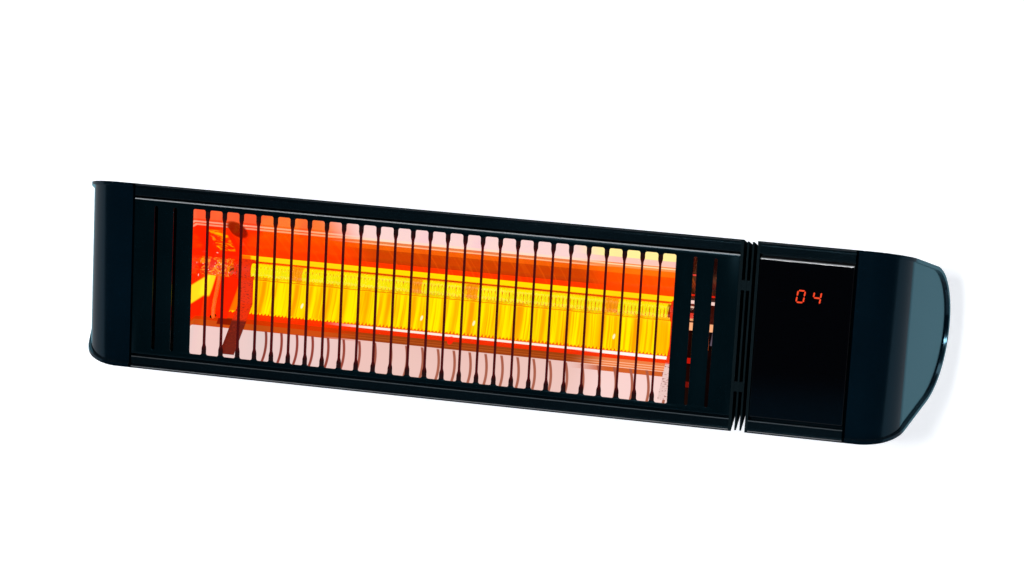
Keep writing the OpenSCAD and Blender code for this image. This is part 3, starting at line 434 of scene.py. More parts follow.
@dataclass(frozen=True)
class Metal(Finish):
    """Bare or plated metal with drawn lines and darker stains."""

    colour: Colour
    roughness: float
    stain: Colour

    def paint(self, tree: MaterialTree) -> None:
        """Drawn lines, stains and uneven gloss."""
        line, tone = tree.effect("scratch", 1100.0, 0.05), tree.effect("cloud", 60.0)
        stained = tree.mix(tree.times(tone, 0.45), self.colour, self.stain)
        tree.surface(stained, tree.rough(line, 0.25, self.roughness - 0.12), Metallic=1.0)
        tree.bump(line, 0.00002)


@dataclass(frozen=True)
class Moulded(Finish):
    """Plastic, ceramic or a coated board, with patches of a second colour and grains per metre.

    Attributes:
        light: Colour of a faint painted glow of lamplight, from the lamp beside it.
    """

    colour: Colour
    second: Colour
    roughness: float = 0.45
    grains: float = 2500.0
    bump: float = 0.00003
    light: Colour | None = None

    def paint(self, tree: MaterialTree) -> None:
        """Fine grain and slow patches, with painted lamplight as glow where given."""
        grain, tone = tree.effect("grain", self.grains), tree.effect("cloud", 90.0)
        fleck = grain.outputs["Fleck"]
        patched = tree.mix(tree.times(tone, 0.5), self.colour, self.second)
        tree.surface(patched, tree.rough(fleck, 0.12, self.roughness))
        tree.bump(grain.outputs["Height"], self.bump)
        # painted lamplight, as glow, from the lamp beside the part
        if self.light:
            tree.glow(tree.mix(fleck, self.light, scaled(self.light, 0.6)))


@dataclass(frozen=True)
class BlackGlass(Finish):
    """Polished black front glass, lighter towards its lower end, with a painted highlight on its edges that
    look up.
    """

    colour: Colour = (0.0001, 0.0003, 0.0009)
    low: Colour = (0.0004, 0.0026, 0.005)
    glass_edge_highlight: Colour = (0.5, 0.53, 0.55)

    def paint(self, tree: MaterialTree) -> None:
        """Faint smears in the gloss and a painted highlight on the edges that look up."""
        deep = tree.mix(tree.spread(tree.along("Z"), -0.02, -0.056), self.colour, self.low)
        smears = tree.rough(tree.effect("cloud", 30.0), 0.04, 0.04)
        # painted highlight on the glass's upward edges
        tree.surface(tree.mix(tree.lit_edge(), deep, self.glass_edge_highlight), smears, 0.2)


@dataclass(frozen=True)
class Quartz(Finish):
    """Clear quartz of the lamp's tube, with its tint and refractive index."""

    tint: Colour = (1.0, 0.97, 0.9)
    index: float = 1.46

    def paint(self, tree: MaterialTree) -> None:
        """Clear tube with a slight tint and a faint drawn wave."""
        tinted = tree.mix(tree.effect("cloud", 90.0), self.tint, scaled(self.tint, 0.9))
        tree.surface(tinted, 0.02, Transmission_Weight=1.0, IOR=self.index)
        tree.bump(tree.effect("scratch", 500.0, 0.08), 0.00002, 0.3)


@dataclass(frozen=True)
class HotWire(Finish):
    """Glowing filament, cooler at its supports and dark past its ends.

    Attributes:
        hot: Colour where it is hottest.
        cool: Colour where it is cooler.
        waves: Noise scale along the wire.
        uneven: How far the noise goes towards the cooler colour.
        held: X of the places where supports cool it.
        reach: X between which it glows.
    """

    hot: Colour = (1.0, 0.93, 0.0)
    cool: Colour = (1.0, 0.34, 0.0)
    waves: float = 260.0
    uneven: float = 0.45
    held: tuple[float, ...] = ()
    reach: Span = (-1.0, 1.0)

    DEAD: ClassVar[Colour] = (0.22, 0.012, 0.0)
    SUPPORT: ClassVar[Span] = (0.0056, 0.004)  # distances where its cooling is gone and where it is full

    def paint(self, tree: MaterialTree) -> None:
        """Uneven heat along the coil."""
        tone, x = tree.effect("cloud", self.waves), tree.along("X")
        shade = tree.mix(tree.times(tone, self.uneven), self.hot, self.cool)
        for place in self.held:
            away = tree.math("ABSOLUTE", tree.math("SUBTRACT", x, place))
            shade = tree.mix(tree.spread(away, *self.SUPPORT), shade, self.cool)
        tree.glow(tree.mix(tree.between(x, self.reach, 0.001), self.DEAD, shade))
        tree.surface(tree.mix(tone, (0.1, 0.04, 0.01), (0.2, 0.08, 0.02)), 0.6, 0.0)


@dataclass(frozen=True)
class PaintedReflectionStrip(Finish):
    """Thin steel strip with a painted reflection of the red field above its bend and painted shade below it,
    both given as glow.

    Attributes:
        upper: Painted reflection, as glow, above the bend.
        lower: Painted shade, as a dim glow, below it at the left end.
        far: Painted light, as glow, below it at the right end, in the pale tone of the lip.
        drawn: Colour of its drawn lines, given as glow within the painted light.
        bend: Height of the bend.
    """

    upper: Colour = srgb(0xEC2C00)
    lower: Colour = srgb(0x601208)
    far: Colour = srgb(0xE8C8C2)
    drawn: Colour = srgb(0x821806)
    bend: float = -0.033

    def paint(self, tree: MaterialTree) -> None:
        """Two tones of painted light and shade, as glow, with drawn lines."""
        line = tree.effect("scratch", 900.0, 0.6)
        lower = tree.mix(tree.spread(tree.along("X"), -0.02, 0.02), self.lower, self.far)
        # painted reflection above the bend and painted shade below it
        glow = tree.mix(tree.spread(tree.along("Z"), self.bend, self.bend - 0.002), self.upper, lower)
        tree.glow(tree.mix(tree.spread(line, 0.5, 0.75), glow, self.drawn))
        steel = tree.mix(line, (0.03, 0.008, 0.005), (0.06, 0.016, 0.01))
        tree.surface(steel, tree.rough(line, 0.2, 0.35), 0.1)


@dataclass(frozen=True)
class PaintedGlintEnd(Finish):
    """Pressed end of the lamp with painted broken light and glints as glow, and painted shade from one X on.
    """

    red: Colour = srgb(0xE21A00)
    orange: Colour = srgb(0xFF960A)
    spark: Colour = srgb(0xFFE1C8)
    # colour of the painted shade behind the right-hand vents
    dark: Colour = srgb(0x280603)
    painted_shade_from: float = 0.135

    def paint(self, tree: MaterialTree) -> None:
        """Painted broken light with a few painted glints, and painted shade past one X."""
        sparkle = tree.effect("sparkle", 190.0)
        broken = sparkle.outputs["Glow"]
        glow = tree.mix(broken, self.red, self.orange)
        glow = tree.mix(sparkle.outputs["Spark"], glow, self.spark)
        # painted shade over the part behind the right-hand vents
        hidden = tree.spread(tree.along("X"), self.painted_shade_from, self.painted_shade_from + 0.004)
        tree.glow(tree.mix(hidden, glow, self.dark))
        worked = tree.mix(broken, (0.12, 0.03, 0.02), (0.2, 0.06, 0.03))
        tree.surface(worked, tree.rough(broken, 0.2, 0.3), 0.2)


@dataclass(frozen=True)
class Spot:
    """Round painted spot of light or shade on the mirror, with places along X and Z in millimetres."""

    centre: Span
    radii: Span = (0.9, 1.5)
    colour: int = 0xFFFCBE

    def mask(self, tree: MaterialTree, x: Any, z: Any) -> Socket:
        """Mask that is 1 in its middle."""
        across, up = (
            tree.math("DIVIDE", tree.math("SUBTRACT", value, middle), radius)
            for value, middle, radius in zip((x, z), self.centre, self.radii)
        )
        return tree.spread(tree.math("MULTIPLY_ADD", across, across, tree.times(up, up)), 1.3, 0.6)


@dataclass(frozen=True)
class Patch:
    """Upright painted patch of light or shade on the mirror, in millimetres.

    Attributes:
        x: Its ends along the heater.
        z: Its lower and upper end.
        colour: Its display colour.
        soft: Softness of its edges along X and Z.
        broken: Output of the sparkle that breaks it up, if one does.
    """

    x: Span
    z: Span
    colour: int
    soft: Span = (0.4, 0.4)
    broken: str = ""

    def mask(self, tree: MaterialTree, x: Any, z: Any, sparkle: Node) -> Socket:
        """Mask that is 1 inside it."""
        inside = tree.times(tree.between(x, self.x, self.soft[0]), tree.between(z, self.z, self.soft[1]))
        return tree.times(inside, sparkle.outputs[self.broken]) if self.broken else inside


@dataclass(frozen=True)
class GlowingMirror(Finish):
    """Folded mirror sheet with the lamp's reflections painted on as glow, in bands along its folds.

    Attributes:
        half: Half height over which the bands run, in millimetres, as every place here.
        left, middle, right: Bands of painted reflection for these parts: where each begins, and its display
            colour.
        inner_vent, outer_vent: Bands of the right end, which the two vents there show: painted shade with
            painted glints.
        slots: Ends of the part that the slots show.
        yellow: Lower and upper end of the yellow field, the coil's painted reflection.
        toothed: Heights between which its lower edge is toothed.
        tooth: Half the step from tooth to tooth, which is a turn of the coil.
        upper: Lower and upper end of the painted streaks of light above the lamp.
        lip: Where the lower lip begins.
        lip_depth: Height over which the blades' painted reflections on it are bent.
        imaged: Ends of the row of these painted reflections.
        image_half: Half the step between them.
        image_start: Where they are counted from.
        spots: Painted glints under the tube, a red painted glint and the painted dark reflection of a base.
        patches: Painted light and painted shade of the left end.
    """

    half: float = 56.0
    left: Bands = (
        (-56, 0xE2CECA), (-39.5, 0xBE4E12), (-36.3, 0xCD3400), (-33.6, 0xFF2A00), (-29, 0xFFD800),
        (-10, 0xE64600), (-8.8, 0xFF7800), (3, 0xFFD60A), (8.6, 0xFF2A00), (36.3, 0xFA9673), (38, 0xEC4614),
        (39.3, 0xFAA082), (40.8, 0xEB461E), (43, 0xF05C34),
    )
    middle: Bands = (
        (-56, 0xE4C4BC), (-38.8, 0x8C3E0C), (-37.4, 0xAA541E), (-37, 0x8C3E0C), (-36, 0xA54C16),
        (-35.6, 0x8C3E0C), (-34.2, 0xEB2800), (-31.7, 0xFFF0E1), (-30.3, 0xEC6000), (-28.4, 0xFFDA00),
        (-10, 0xEB5000), (-8.8, 0xFF7800), (3, 0xFFDE00), (8.6, 0xFF2800), (14, 0xB02802), (28, 0xDE4A08),
        (33, 0xFAB48C), (34.4, 0xD66E46), (37, 0xFCD7C8), (39.4, 0xE8CCD4),
    )
    right: Bands = (
        (-56, 0xF0D4D0), (-41.8, 0xC46028), (-39.2, 0xFAC8AA), (-38.8, 0xE48046), (-37.7, 0xFABE96),
        (-37.3, 0xE48046), (-36.7, 0xFABE96), (-36.3, 0xE48046), (-34.4, 0xF03406), (-32, 0xFFFAF5),
        (-30.5, 0xF06400), (-28.6, 0xFFDA00), (-10, 0xEB5000), (-8.8, 0xFF7800), (3, 0xFFD60A),
        (8.6, 0xFF3E00), (28, 0xFF620A), (34, 0xF58C50), (36, 0xFFD6AA), (37.4, 0xF08250), (38.6, 0xFAC8BE),
        (39.6, 0xF0BEBA), (45, 0xFFECA0),
    )
    inner_vent: Bands = (
        (-56, 0x0A0302), (-46, 0x6E0C05), (-43, 0x0A0302), (-33, 0xBE1406), (-30, 0x0C0302),
        (-14, 0xFFB482), (-9, 0xF54032), (-3, 0x320604), (3, 0xFFD7CD), (7, 0x240503), (11, 0xD71A0A),
        (13, 0x0C0302), (32, 0xD73232), (34, 0x0A0302),
    )
    outer_vent: Bands = (
        (-56, 0x080303), (-22, 0x605260), (-9, 0x0E0504), (-5, 0xFA8250), (0, 0x0C0404), (8, 0x780C08),
        (10, 0x080303),
    )
    slots: Span = (-198, 140)
    yellow: Span = (-29, -10)
    toothed: Span = (-30.1, -26)
    tooth: float = 1.35
    upper: Span = (9, 33)
    lip: float = -39.0
    lip_depth: float = 15.0
    imaged: Span = (-173, 140)
    image_half: float = 6.025
    image_start: float = -165.2
    spots: tuple[Spot, ...] = (
        Spot((-150, -22.5)), Spot((-57, -22.5)), Spot((-17, -22.5)), Spot((89, -22)),
        Spot((-30.5, -33.5), (2.4, 2.4), 0xFF1E08), Spot((-197, 35), (7.5, 9), 0x600E00),
    )
    patches: tuple[Patch, ...] = (
        Patch((-210, -190), (-37.6, -33.8), 0x641400),
        Patch((-204, -197), (-29, 8.6), 0xFF7600, (1.0, 0.4)),
        Patch((-400, -203.5), (-34, 36), 0xFF1E00, (1.0, 0.4)),
        Patch((-222, -208), (12, 32), 0xFFB000, (1.0, 1.5), "Glow"),
        Patch((-230, -223.5), (-22, -8), 0xFFE21E, (0.8, 1.0)),
        Patch((-400, -204.5), (-4, 9), 0xFFEBD7, (1.5, 1.0), "Spark"),
    )

    def bands(self, tree: MaterialTree, z: Any, stops: Bands) -> Socket:
        """Lays bands over the height, each up to the next.

        Args:
            tree: The material's tree.
            z: The height.
            stops: The bands from the bottom fold to the top fold.

        Returns:
            The colour.
        """
        made = tree.node("ShaderNodeValToRGB", {0: tree.math("MULTIPLY_ADD", z, 0.5 / self.half, 0.5)})
        ramp = made.color_ramp
        ramp.interpolation = "CONSTANT"
        ramp.elements.remove(ramp.elements[1])
        for index, (place, colour) in enumerate(stops):
            share = (place + self.half) / (2 * self.half)
            element = ramp.elements.new(share) if index else ramp.elements[0]
            element.color = (*srgb(colour), 1.0)
        return made.outputs[0]

    def paint(self, tree: MaterialTree) -> None:
        """Painted reflection bands, streaks and glints, the blades' painted reflections, the left end's
        painted light and shade, and a little true reflection.
        """
        x, z = (tree.times(tree.along(axis), 1 / MM) for axis in "XZ")
        glow = self.streaks(tree, x, z, self.field(tree, x, z))
        # painted glints and the painted dark reflection of a base
        for spot in self.spots:
            glow = tree.mix(spot.mask(tree, x, z), glow, srgb(spot.colour))
        glow = self.blade_reflections(tree, x, z, glow)
        sparkle = tree.effect("sparkle", 70.0)
        # painted light and shade of the left end
        for patch in self.patches:
            glow = tree.mix(patch.mask(tree, x, z, sparkle), glow, srgb(patch.colour))
        # the painted reflections of the lamp are given as the sheet's glow
        tree.glow(glow, 0.98)
        line = tree.effect("scratch", 700.0, 0.05)
        sheet = tree.mix(line, (0.10, 0.03, 0.02), (0.15, 0.05, 0.03))
        # painted shade: the sheet's colour turns near black from X 137 mm on, at the right end behind the
        # vents
        sheet = tree.mix(tree.spread(x, 137, 141), sheet, (0.012, 0.005, 0.004))
        tree.surface(sheet, tree.rough(line, 0.1, 0.15), Metallic=1.0)

    def field(self, tree: MaterialTree, x: Any, z: Any) -> Socket:
        """Mixes the painted reflection bands along the heater, with the vents' painted shade and glints at
        the right end; the yellow field's lower edge is toothed.
        """
        tooth = tree.times(tree.math("PINGPONG", x, self.tooth), tree.between(z, self.toothed, 0.2))
        toothed = tree.math("MULTIPLY_ADD", tooth, 1.5, z)
        glow = self.bands(tree, toothed, self.left)
        for bands, start, end, height in (
            (self.middle, -130, -90, toothed), (self.right, 60, 90, toothed),
            (self.inner_vent, 140, 141.2, z), (self.outer_vent, 160, 161, z),
        ):
            glow = tree.mix(tree.spread(x, start, end), glow, self.bands(tree, height, bands))
        return glow

    def streaks(self, tree: MaterialTree, x: Any, z: Any, glow: Any) -> Socket:
        """Painted streaks of reflected light: slanting ones in the yellow field, and fainter ones above the
        lamp.
        """
        slant = tree.math("MULTIPLY_ADD", tree.math("ADD", z, 10.0), 1 / 6, x)
        drawn = tree.node("ShaderNodeCombineXYZ", {0: slant, 2: tree.times(z, 0.03)})
        fine, broad = tree.noise(drawn, 0.5), tree.noise(drawn, 0.11, 1.0)
        yellow = tree.times(tree.between(z, self.yellow), tree.between(x, self.slots))
        glow = tree.mix(tree.times(tree.spread(broad, 0.55, 0.4), yellow), glow, srgb(0xFFF200))
        thin, wide = tree.spread(fine, 0.47, 0.66, 0.6), tree.spread(broad, 0.5, 0.66, 0.75)
        glow = tree.mix(tree.times(tree.math("MAXIMUM", thin, wide), yellow), glow, srgb(0xF88800))
        above = tree.times(tree.between(z, self.upper), tree.spread(fine, 0.5, 0.7, 0.22))
        return tree.mix(above, glow, srgb(0xFF600A))

    def blade_reflections(self, tree: MaterialTree, x: Any, z: Any, glow: Any) -> Socket:
        """Painted reflections of the blades, bent and brown, on the lower lip."""
        down = tree.math("DIVIDE", tree.math("SUBTRACT", self.lip, z), self.lip_depth, clamp=True)
        bend = tree.math("POWER", tree.math("SUBTRACT", 1.0, down), 1.8)
        along = tree.math("ADD", x, tree.math("MULTIPLY_ADD", bend, 5.2, -self.image_start))
        near = tree.spread(tree.math("PINGPONG", along, self.image_half), 1.3, 0.7)
        lower = tree.times(tree.spread(z, self.lip + 0.4, self.lip - 0.4), tree.between(x, self.imaged))
        shade = tree.mix(tree.spread(x, -130, -40), srgb(0x783C32), srgb(0x965A46))
        return tree.mix(tree.times(near, lower), glow, shade)


# painted highlight lines along the housing's beads: heights and strengths
BEAD_HIGHLIGHTS = ((-0.0688, 1.0), (-0.0612, 0.25), (0.069, 0.2))
PALETTE: dict[Slot | Look, Finish] = {
    # the rim colours below are painted highlights on rounded edges that look up
    Slot.HOUSING: Coat(srgb(0x040C11), 0.24, 1500.0, 0.0001, 0.8, (0.16, 0.17, 0.18), 0.12, lines=BEAD_HIGHLIGHTS),
    Slot.PANEL: Coat(srgb(0x010C11), 0.2, bump=0.00001, fleck=0.08, painted_edge_highlight=(0.36, 0.38, 0.4), gloss=0.14),
    Slot.CAP: Coat(srgb(0x000C16), 0.14, 3000.0, 0.000004, 0.04, gloss=0.5),
    Slot.PLATE: Coat(srgb(0x0D161A), 0.36),
    Slot.BRACKET: Coat(srgb(0x0E1419), 0.42, 1800.0, 0.00008, 0.2),
    # the blades get painted lamplight as glow
    Look.BLADE: Coat((0.008, 0.002, 0.002), 0.7, bump=0.00001, gloss=0.05, painted_lamplight=srgb(0x460304)),
    # painted shade: the bulkheads in the grooves are coated near black so the grooves read as shadow
    Look.SEAM: Coat(srgb(0x000204), 0.5, bump=0.00002, painted_edge_highlight=(0.0, 0.001, 0.001), gloss=0.0),
    Look.FIN: Coat(srgb(0x111B1F), 0.5, bump=0.00002, painted_edge_highlight=(0.02, 0.024, 0.026), gloss=0.0),
    Look.CLIP: PaintedReflectionStrip(),
    Look.BASE: PaintedGlintEnd(),
    Slot.MIRROR: GlowingMirror(),
    Slot.QUARTZ: Quartz(),
    Slot.COIL: HotWire(uneven=0.12, held=(-0.1535, -0.0609, -0.0185, 0.0870), reach=(-0.1975, 0.1287)),
    Slot.RING: HotWire((0.95, 0.32, 0.0), (0.6, 0.12, 0.0), 500.0),
    Slot.CERAMIC: Moulded(srgb(0x966450), srgb(0x6E4232), 0.55, light=(0.10, 0.014, 0.004)),
    Slot.LEAD: Moulded(srgb(0xE15A19), srgb(0xBE3C0F), 0.6, 3500.0, 0.00012, (0.45, 0.07, 0.0)),
    Slot.ZINC: Metal(srgb(0xBEC0C4), 0.34, srgb(0x8C8E8A)),
    Slot.GLASS: BlackGlass(),
    Slot.BLACK: Moulded(srgb(0x161618), srgb(0x202022), 0.5),
    Slot.WHITE: Moulded(srgb(0xE1E1DC), srgb(0xCDCDC6)),
    Slot.BLUE: Moulded(srgb(0x284682), srgb(0x1E376E), 0.4),
    Slot.BOARD: Moulded(srgb(0x0E5428), srgb(0x187034), 0.35, 1200.0),
    Slot.DIGIT: HotWire((0.9, 0.018, 0.01), (0.6, 0.006, 0.004), 900.0),
    Slot.BRASS: Metal(srgb(0xCDA555), 0.3, srgb(0x966E32)),
    Slot.ALUMINIUM: Metal(srgb(0xC8CACD), 0.36, srgb(0x96989C)),
}


class Workshop:
    """Keeps the finishes, by slot, and turns meshes into pieces that ride on the frame."""

    def __init__(self) -> None:
        """Reads which slot and body each CAD node has."""
        record = frame["record"]
        self.finishes: dict[Slot | Look, bpy.types.Material] = {}
        self.coated: set[str] = set()
        self.slots = {part["node"]: Slot(part["material_slot"]) for part in record["subparts"]}
        self.bodies = {node: body for body, nodes in record["behaviour"]["bodies"].items() for node in nodes}

    def material(self, finish: Slot | Look) -> bpy.types.Material:
        """The finish's material, built once."""
        if finish not in self.finishes:
            self.finishes[finish] = PALETTE[finish].build(finish.value)
        return self.finishes[finish]

    def coat(self, mesh: Mesh, finish: Slot | Look) -> None:
        """Gives a mesh one finish."""
        mesh.materials.clear()
        mesh.materials.append(self.material(finish))

    def coat_node(self, node: str, look: Look | None = None) -> None:
        """Gives a CAD node its slot's material, or a finish of its own."""
        self.coated.add(node)
        self.coat(frame["nodes"][node].data, look or self.slots[node])

    def piece(
        self, name: str, mesh: Mesh, body: str, slot: Slot, replaced: Sequence[str] = (),
        look: Look | None = None,
    ) -> None:
        """Makes a finished mesh a piece of the scene.

        Args:
            name: The piece's name.
            mesh: Its mesh, in place.
            body: The body that it rides on.
            slot: The slot of its finish.
            replaced: CAD nodes that it stands for.
            look: A finish of its own within the slot.
        """
        self.coat(mesh, look or slot)
        made = placed(name, mesh)
        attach(made, body)
        if replaced:
            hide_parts(*replaced)
        log.info("piece %s: %d faces on %s", name, len(mesh.polygons), body)

    def evaluated(self, name: str, holder: Made) -> Mesh:
        """Turns an object's modifiers into a plain mesh and removes the object.

        Args:
            name: The new mesh's name.
            holder: The object with the modifiers.

        Returns:
            The plain mesh.
        """
        bpy.context.view_layer.update()
        seen = holder.evaluated_get(bpy.context.evaluated_depsgraph_get())
        mesh = bpy.data.meshes.new_from_object(seen)
        mesh.name = name
        holder.modifiers.clear()
        bpy.data.objects.remove(holder)
        return mesh

    def dress_edges(self, node: str, width: float, segments: int = 2, look: Look | None = None) -> None:
        """Replaces a CAD node by a copy whose edges are rounded and marked.

        Args:
            node: The CAD node.
            width: Width of the rounding, or 0 for none.
            segments: Faces across the rounding.
            look: A finish of its own within the slot.
        """
        work = bmesh.new()
        work.from_mesh(frame["nodes"][node].data)
        bmesh.ops.remove_doubles(work, verts=work.verts, dist=2e-6)
        bmesh.ops.dissolve_limit(work, angle_limit=math.radians(0.4), verts=work.verts, edges=work.edges)
        limit = math.radians(30)
        inner = (edge for edge in work.edges if len(edge.link_faces) == 2)
        sharp = [edge for edge in inner if edge.calc_face_angle(0.0) > limit]
        mark = work.faces.layers.float.new("edge")
        if width > 0 and sharp:
            made = bmesh.ops.bevel(
                work, geom=sharp, offset=width, offset_type="OFFSET", segments=segments, profile=0.6,
                affect="EDGES", clamp_overlap=True, loop_slide=True,
            )
            for face in made["faces"]:
                if face.is_valid:
                    face[mark] = 1.0
        for face in work.faces:
            face.smooth = True
        mesh = mesh_of(work, f"{node}_dressed")
        mesh.set_sharp_from_angle(angle=math.radians(34) if width > 0 else limit)
        holder = placed(f"{node}_holder", mesh)
        holder.modifiers.new("weights", "WEIGHTED_NORMAL").keep_sharp = True
        name = f"{node}_dressed"
        self.piece(name, self.evaluated(name, holder), self.bodies[node], self.slots[node], [node], look)

    def grown(self, name: str, tree: Tree, values: dict[str, Any]) -> Mesh:
        """Runs a geometry tree on an empty mesh.

        Args:
            name: The result's name.
            tree: The geometry tree.
            values: Values of the tree's named inputs.

        Returns:
            The plain result.
        """
        holder = placed(name, bpy.data.meshes.new(name))
        modifier = holder.modifiers.new(name, "NODES")
        modifier.node_group = tree
        for socket in tree.interface.items_tree:
            if socket.name in values:
                modifier[socket.identifier] = values[socket.name]
        return self.evaluated(name, holder)


class GeometryTree(Graph):
    """A geometry tree with named number inputs, and one for the material."""

    def __init__(self, name: str, *inputs: str) -> None:
        """Starts the tree.

        Args:
            name: The tree's name.
            *inputs: Names of its numbers.
        """
        super().__init__(bpy.data.node_groups.new(name, "GeometryNodeTree"))
        sockets = self.tree.interface
        sockets.new_socket("Geometry", in_out="OUTPUT", socket_type="NodeSocketGeometry")
        for key in inputs:
            kind = "NodeSocketInt" if key == "Count" else "NodeSocketFloat"
            sockets.new_socket(key, in_out="INPUT", socket_type=kind)
        sockets.new_socket("Material", in_out="INPUT", socket_type="NodeSocketMaterial")
        self.given = self.node("NodeGroupInput").outputs

    def finish(self, geometry: Any) -> Tree:
        """Realizes the instances, sets the material and closes the tree."""
        real = self.node("GeometryNodeRealizeInstances", {0: geometry})
        smooth = self.node("GeometryNodeSetShadeSmooth", {"Geometry": real})
        coated = {"Geometry": smooth, "Material": self.given["Material"]}
        self.node("NodeGroupOutput", {0: self.node("GeometryNodeSetMaterial", coated)})
        return self.tree


@dataclass
class SubAssembly:
    """Sub-assembly of the heater, with the workshop that builds it."""

    shop: Workshop


@dataclass
class Grille(SubAssembly):
    """Stamped front sheet with twisted blades.

    Attributes:
        middle: X of the middle of the slots.
        count: Number of slots.
        pitch: Step from slot to slot.
        slot: Width of a slot.
        blade: Width of a blade.
        half: Half height of the slots.
        twist: Height over which a blade turns edge-on.
        corner: Radius of the slots' corners.
        vents: X of the narrow vents.
        vent: Half width and half height of a vent.
        soft: Rounding of the sheet's stamped edges.
        edge: Width of a blade's edge, with its bead of coat.
        fold: Radius of the sheet's top and bottom folds.
        flange: Depth of the flanges behind the folds.
    """

    middle: float = -0.040605
    count: int = 28
    pitch: float = 0.01297
    slot: float = 0.00947
    blade: float = 0.0034
    half: float = 0.0548
    twist: float = 0.008
    corner: float = 0.0015
    vents: tuple[float, ...] = (-0.248835, -0.234235, 0.153025, 0.167625)
    vent: Span = (0.00125, 0.0544)
    soft: float = 0.00012
    edge: float = 0.0013
    fold: float = 0.0011
    flange: float = 0.012

    def build(self) -> None:
        """Builds the sheet and the blades."""
        first = self.middle - (self.count / 2 - 1) * self.pitch
        blades = self.shop.grown("grille_blades", self.blade_tree(), {
            "Count": self.count - 1, "Pitch": self.pitch, "First": first,
            "Depth": SIZE.y(SIZE.sheet / 2), "Half height": self.half - self.corner + 0.0004,
            "Twist height": self.twist, "Width": self.blade, "Thickness": self.edge,
            "Material": self.shop.material(Look.BLADE),
        })
        self.shop.piece("grille_sheet", self.sheet_mesh(), "heater", Slot.PANEL, ["front_grille"])
        self.shop.piece("grille_blades", blades, "heater", Slot.PANEL, ["front_grille"], Look.BLADE)

    def arc(self, x: float, z: float, start: float, turn: float, steps: int = 5) -> list[Span]:
        """Points of a corner about a centre, angles in degrees."""
        angles = [math.radians(start + turn * i / steps) for i in range(steps + 1)]
        return [(x + self.corner * math.cos(a), z + self.corner * math.sin(a)) for a in angles]

    def window(self) -> list[Span]:
        """Outline of the opening, with a rounded end for every slot."""
        top: list[Span] = []
        neck, reach = self.half - self.corner, self.slot / 2 - self.corner
        for index in range(self.count):
            x = self.middle + (index - (self.count - 1) / 2) * self.pitch
            top += self.arc(x - reach, neck, 180, -90) + self.arc(x + reach, neck, 90, -90)
        return top + [(x, -z) for x, z in reversed(top)]

    def vent_outline(self, x: float) -> list[Span]:
        """Outline of a vent, with a rounded end."""
        w, v = self.vent
        turn = v - 0.9 * w
        half = [(w, -turn), (w, turn), (w / 2, v), (-w / 2, v)]
        return [(x + side * a, side * b) for side in (1, -1) for a, b in half]

    def sheet_mesh(self) -> Mesh:
        """The flat sheet with its opening and vents, and its two folded flanges."""
        x0, x1 = SIZE.main[0] + 0.05 * MM, SIZE.main[1] - 0.05 * MM
        flat = SIZE.panel_height / 2 - self.fold + 0.1 * MM
        curve = bpy.data.curves.new("grille_outline", "CURVE")
        curve.dimensions, curve.fill_mode = "2D", "BOTH"
        curve.extrude = SIZE.sheet / 2 - self.soft
        curve.bevel_depth, curve.bevel_resolution, curve.offset = self.soft, 1, -self.soft
        outer = [(x0, -flat), (x1, -flat), (x1, flat), (x0, flat)]
        for loop in (outer, self.window(), *map(self.vent_outline, self.vents)):
            spline = curve.splines.new("POLY")
            spline.points.add(len(loop) - 1)
            for point, (x, z) in zip(spline.points, loop):
                point.co = (x, z, 0.0, 1.0)
            spline.use_cyclic_u = True
        mesh = self.shop.evaluated("grille_flat", placed("grille_outline", curve))
        upright = Matrix.Rotation(math.radians(90), 4, "X")
        mesh.transform(Matrix.Translation((0, SIZE.y(SIZE.sheet / 2), 0)) @ upright)
        work = bmesh.new()
        work.from_mesh(mesh)
        bmesh.ops.remove_doubles(work, verts=work.verts, dist=1e-6)
        mark = work.faces.layers.float.new("edge")
        for side in (-1, 1):
            self.add_fold(work, mark, side, (x0, x1))
        bmesh.ops.recalc_face_normals(work, faces=work.faces)
        made = mesh_of(work, "grille_sheet")
        made.set_sharp_from_angle(angle=math.radians(34))
        return made

    def add_fold(self, work: bmesh.types.BMesh, mark: Any, side: int, ends: Span) -> None:
        """Adds a rounded fold with its flange along the sheet's top or bottom edge.

        Args:
            work: The mesh under construction.
            mark: The layer that marks rounded edges.
            side: 1 at the top, -1 at the bottom.
            ends: X of its left and right end.
        """
        h, r, steps = SIZE.panel_height / 2, self.fold, 6
        bend = [math.radians(90 * step / steps) for step in range(steps + 1)]
        foot = h - r - 0.1 * MM
        outline = [(r - r * math.cos(a), h - r + r * math.sin(a)) for a in bend]
        outline += [(self.flange, h), (self.flange, h - SIZE.sheet), (r, h - SIZE.sheet)]
        outline += [(SIZE.sheet, foot), (0.0, foot)]
        faces = prism(work, *([(x, SIZE.y(depth), side * z) for depth, z in outline] for x in ends))
        for index, face in enumerate(faces):
            face.smooth = True
            face[mark] = 1.0 if index < steps else 0.0

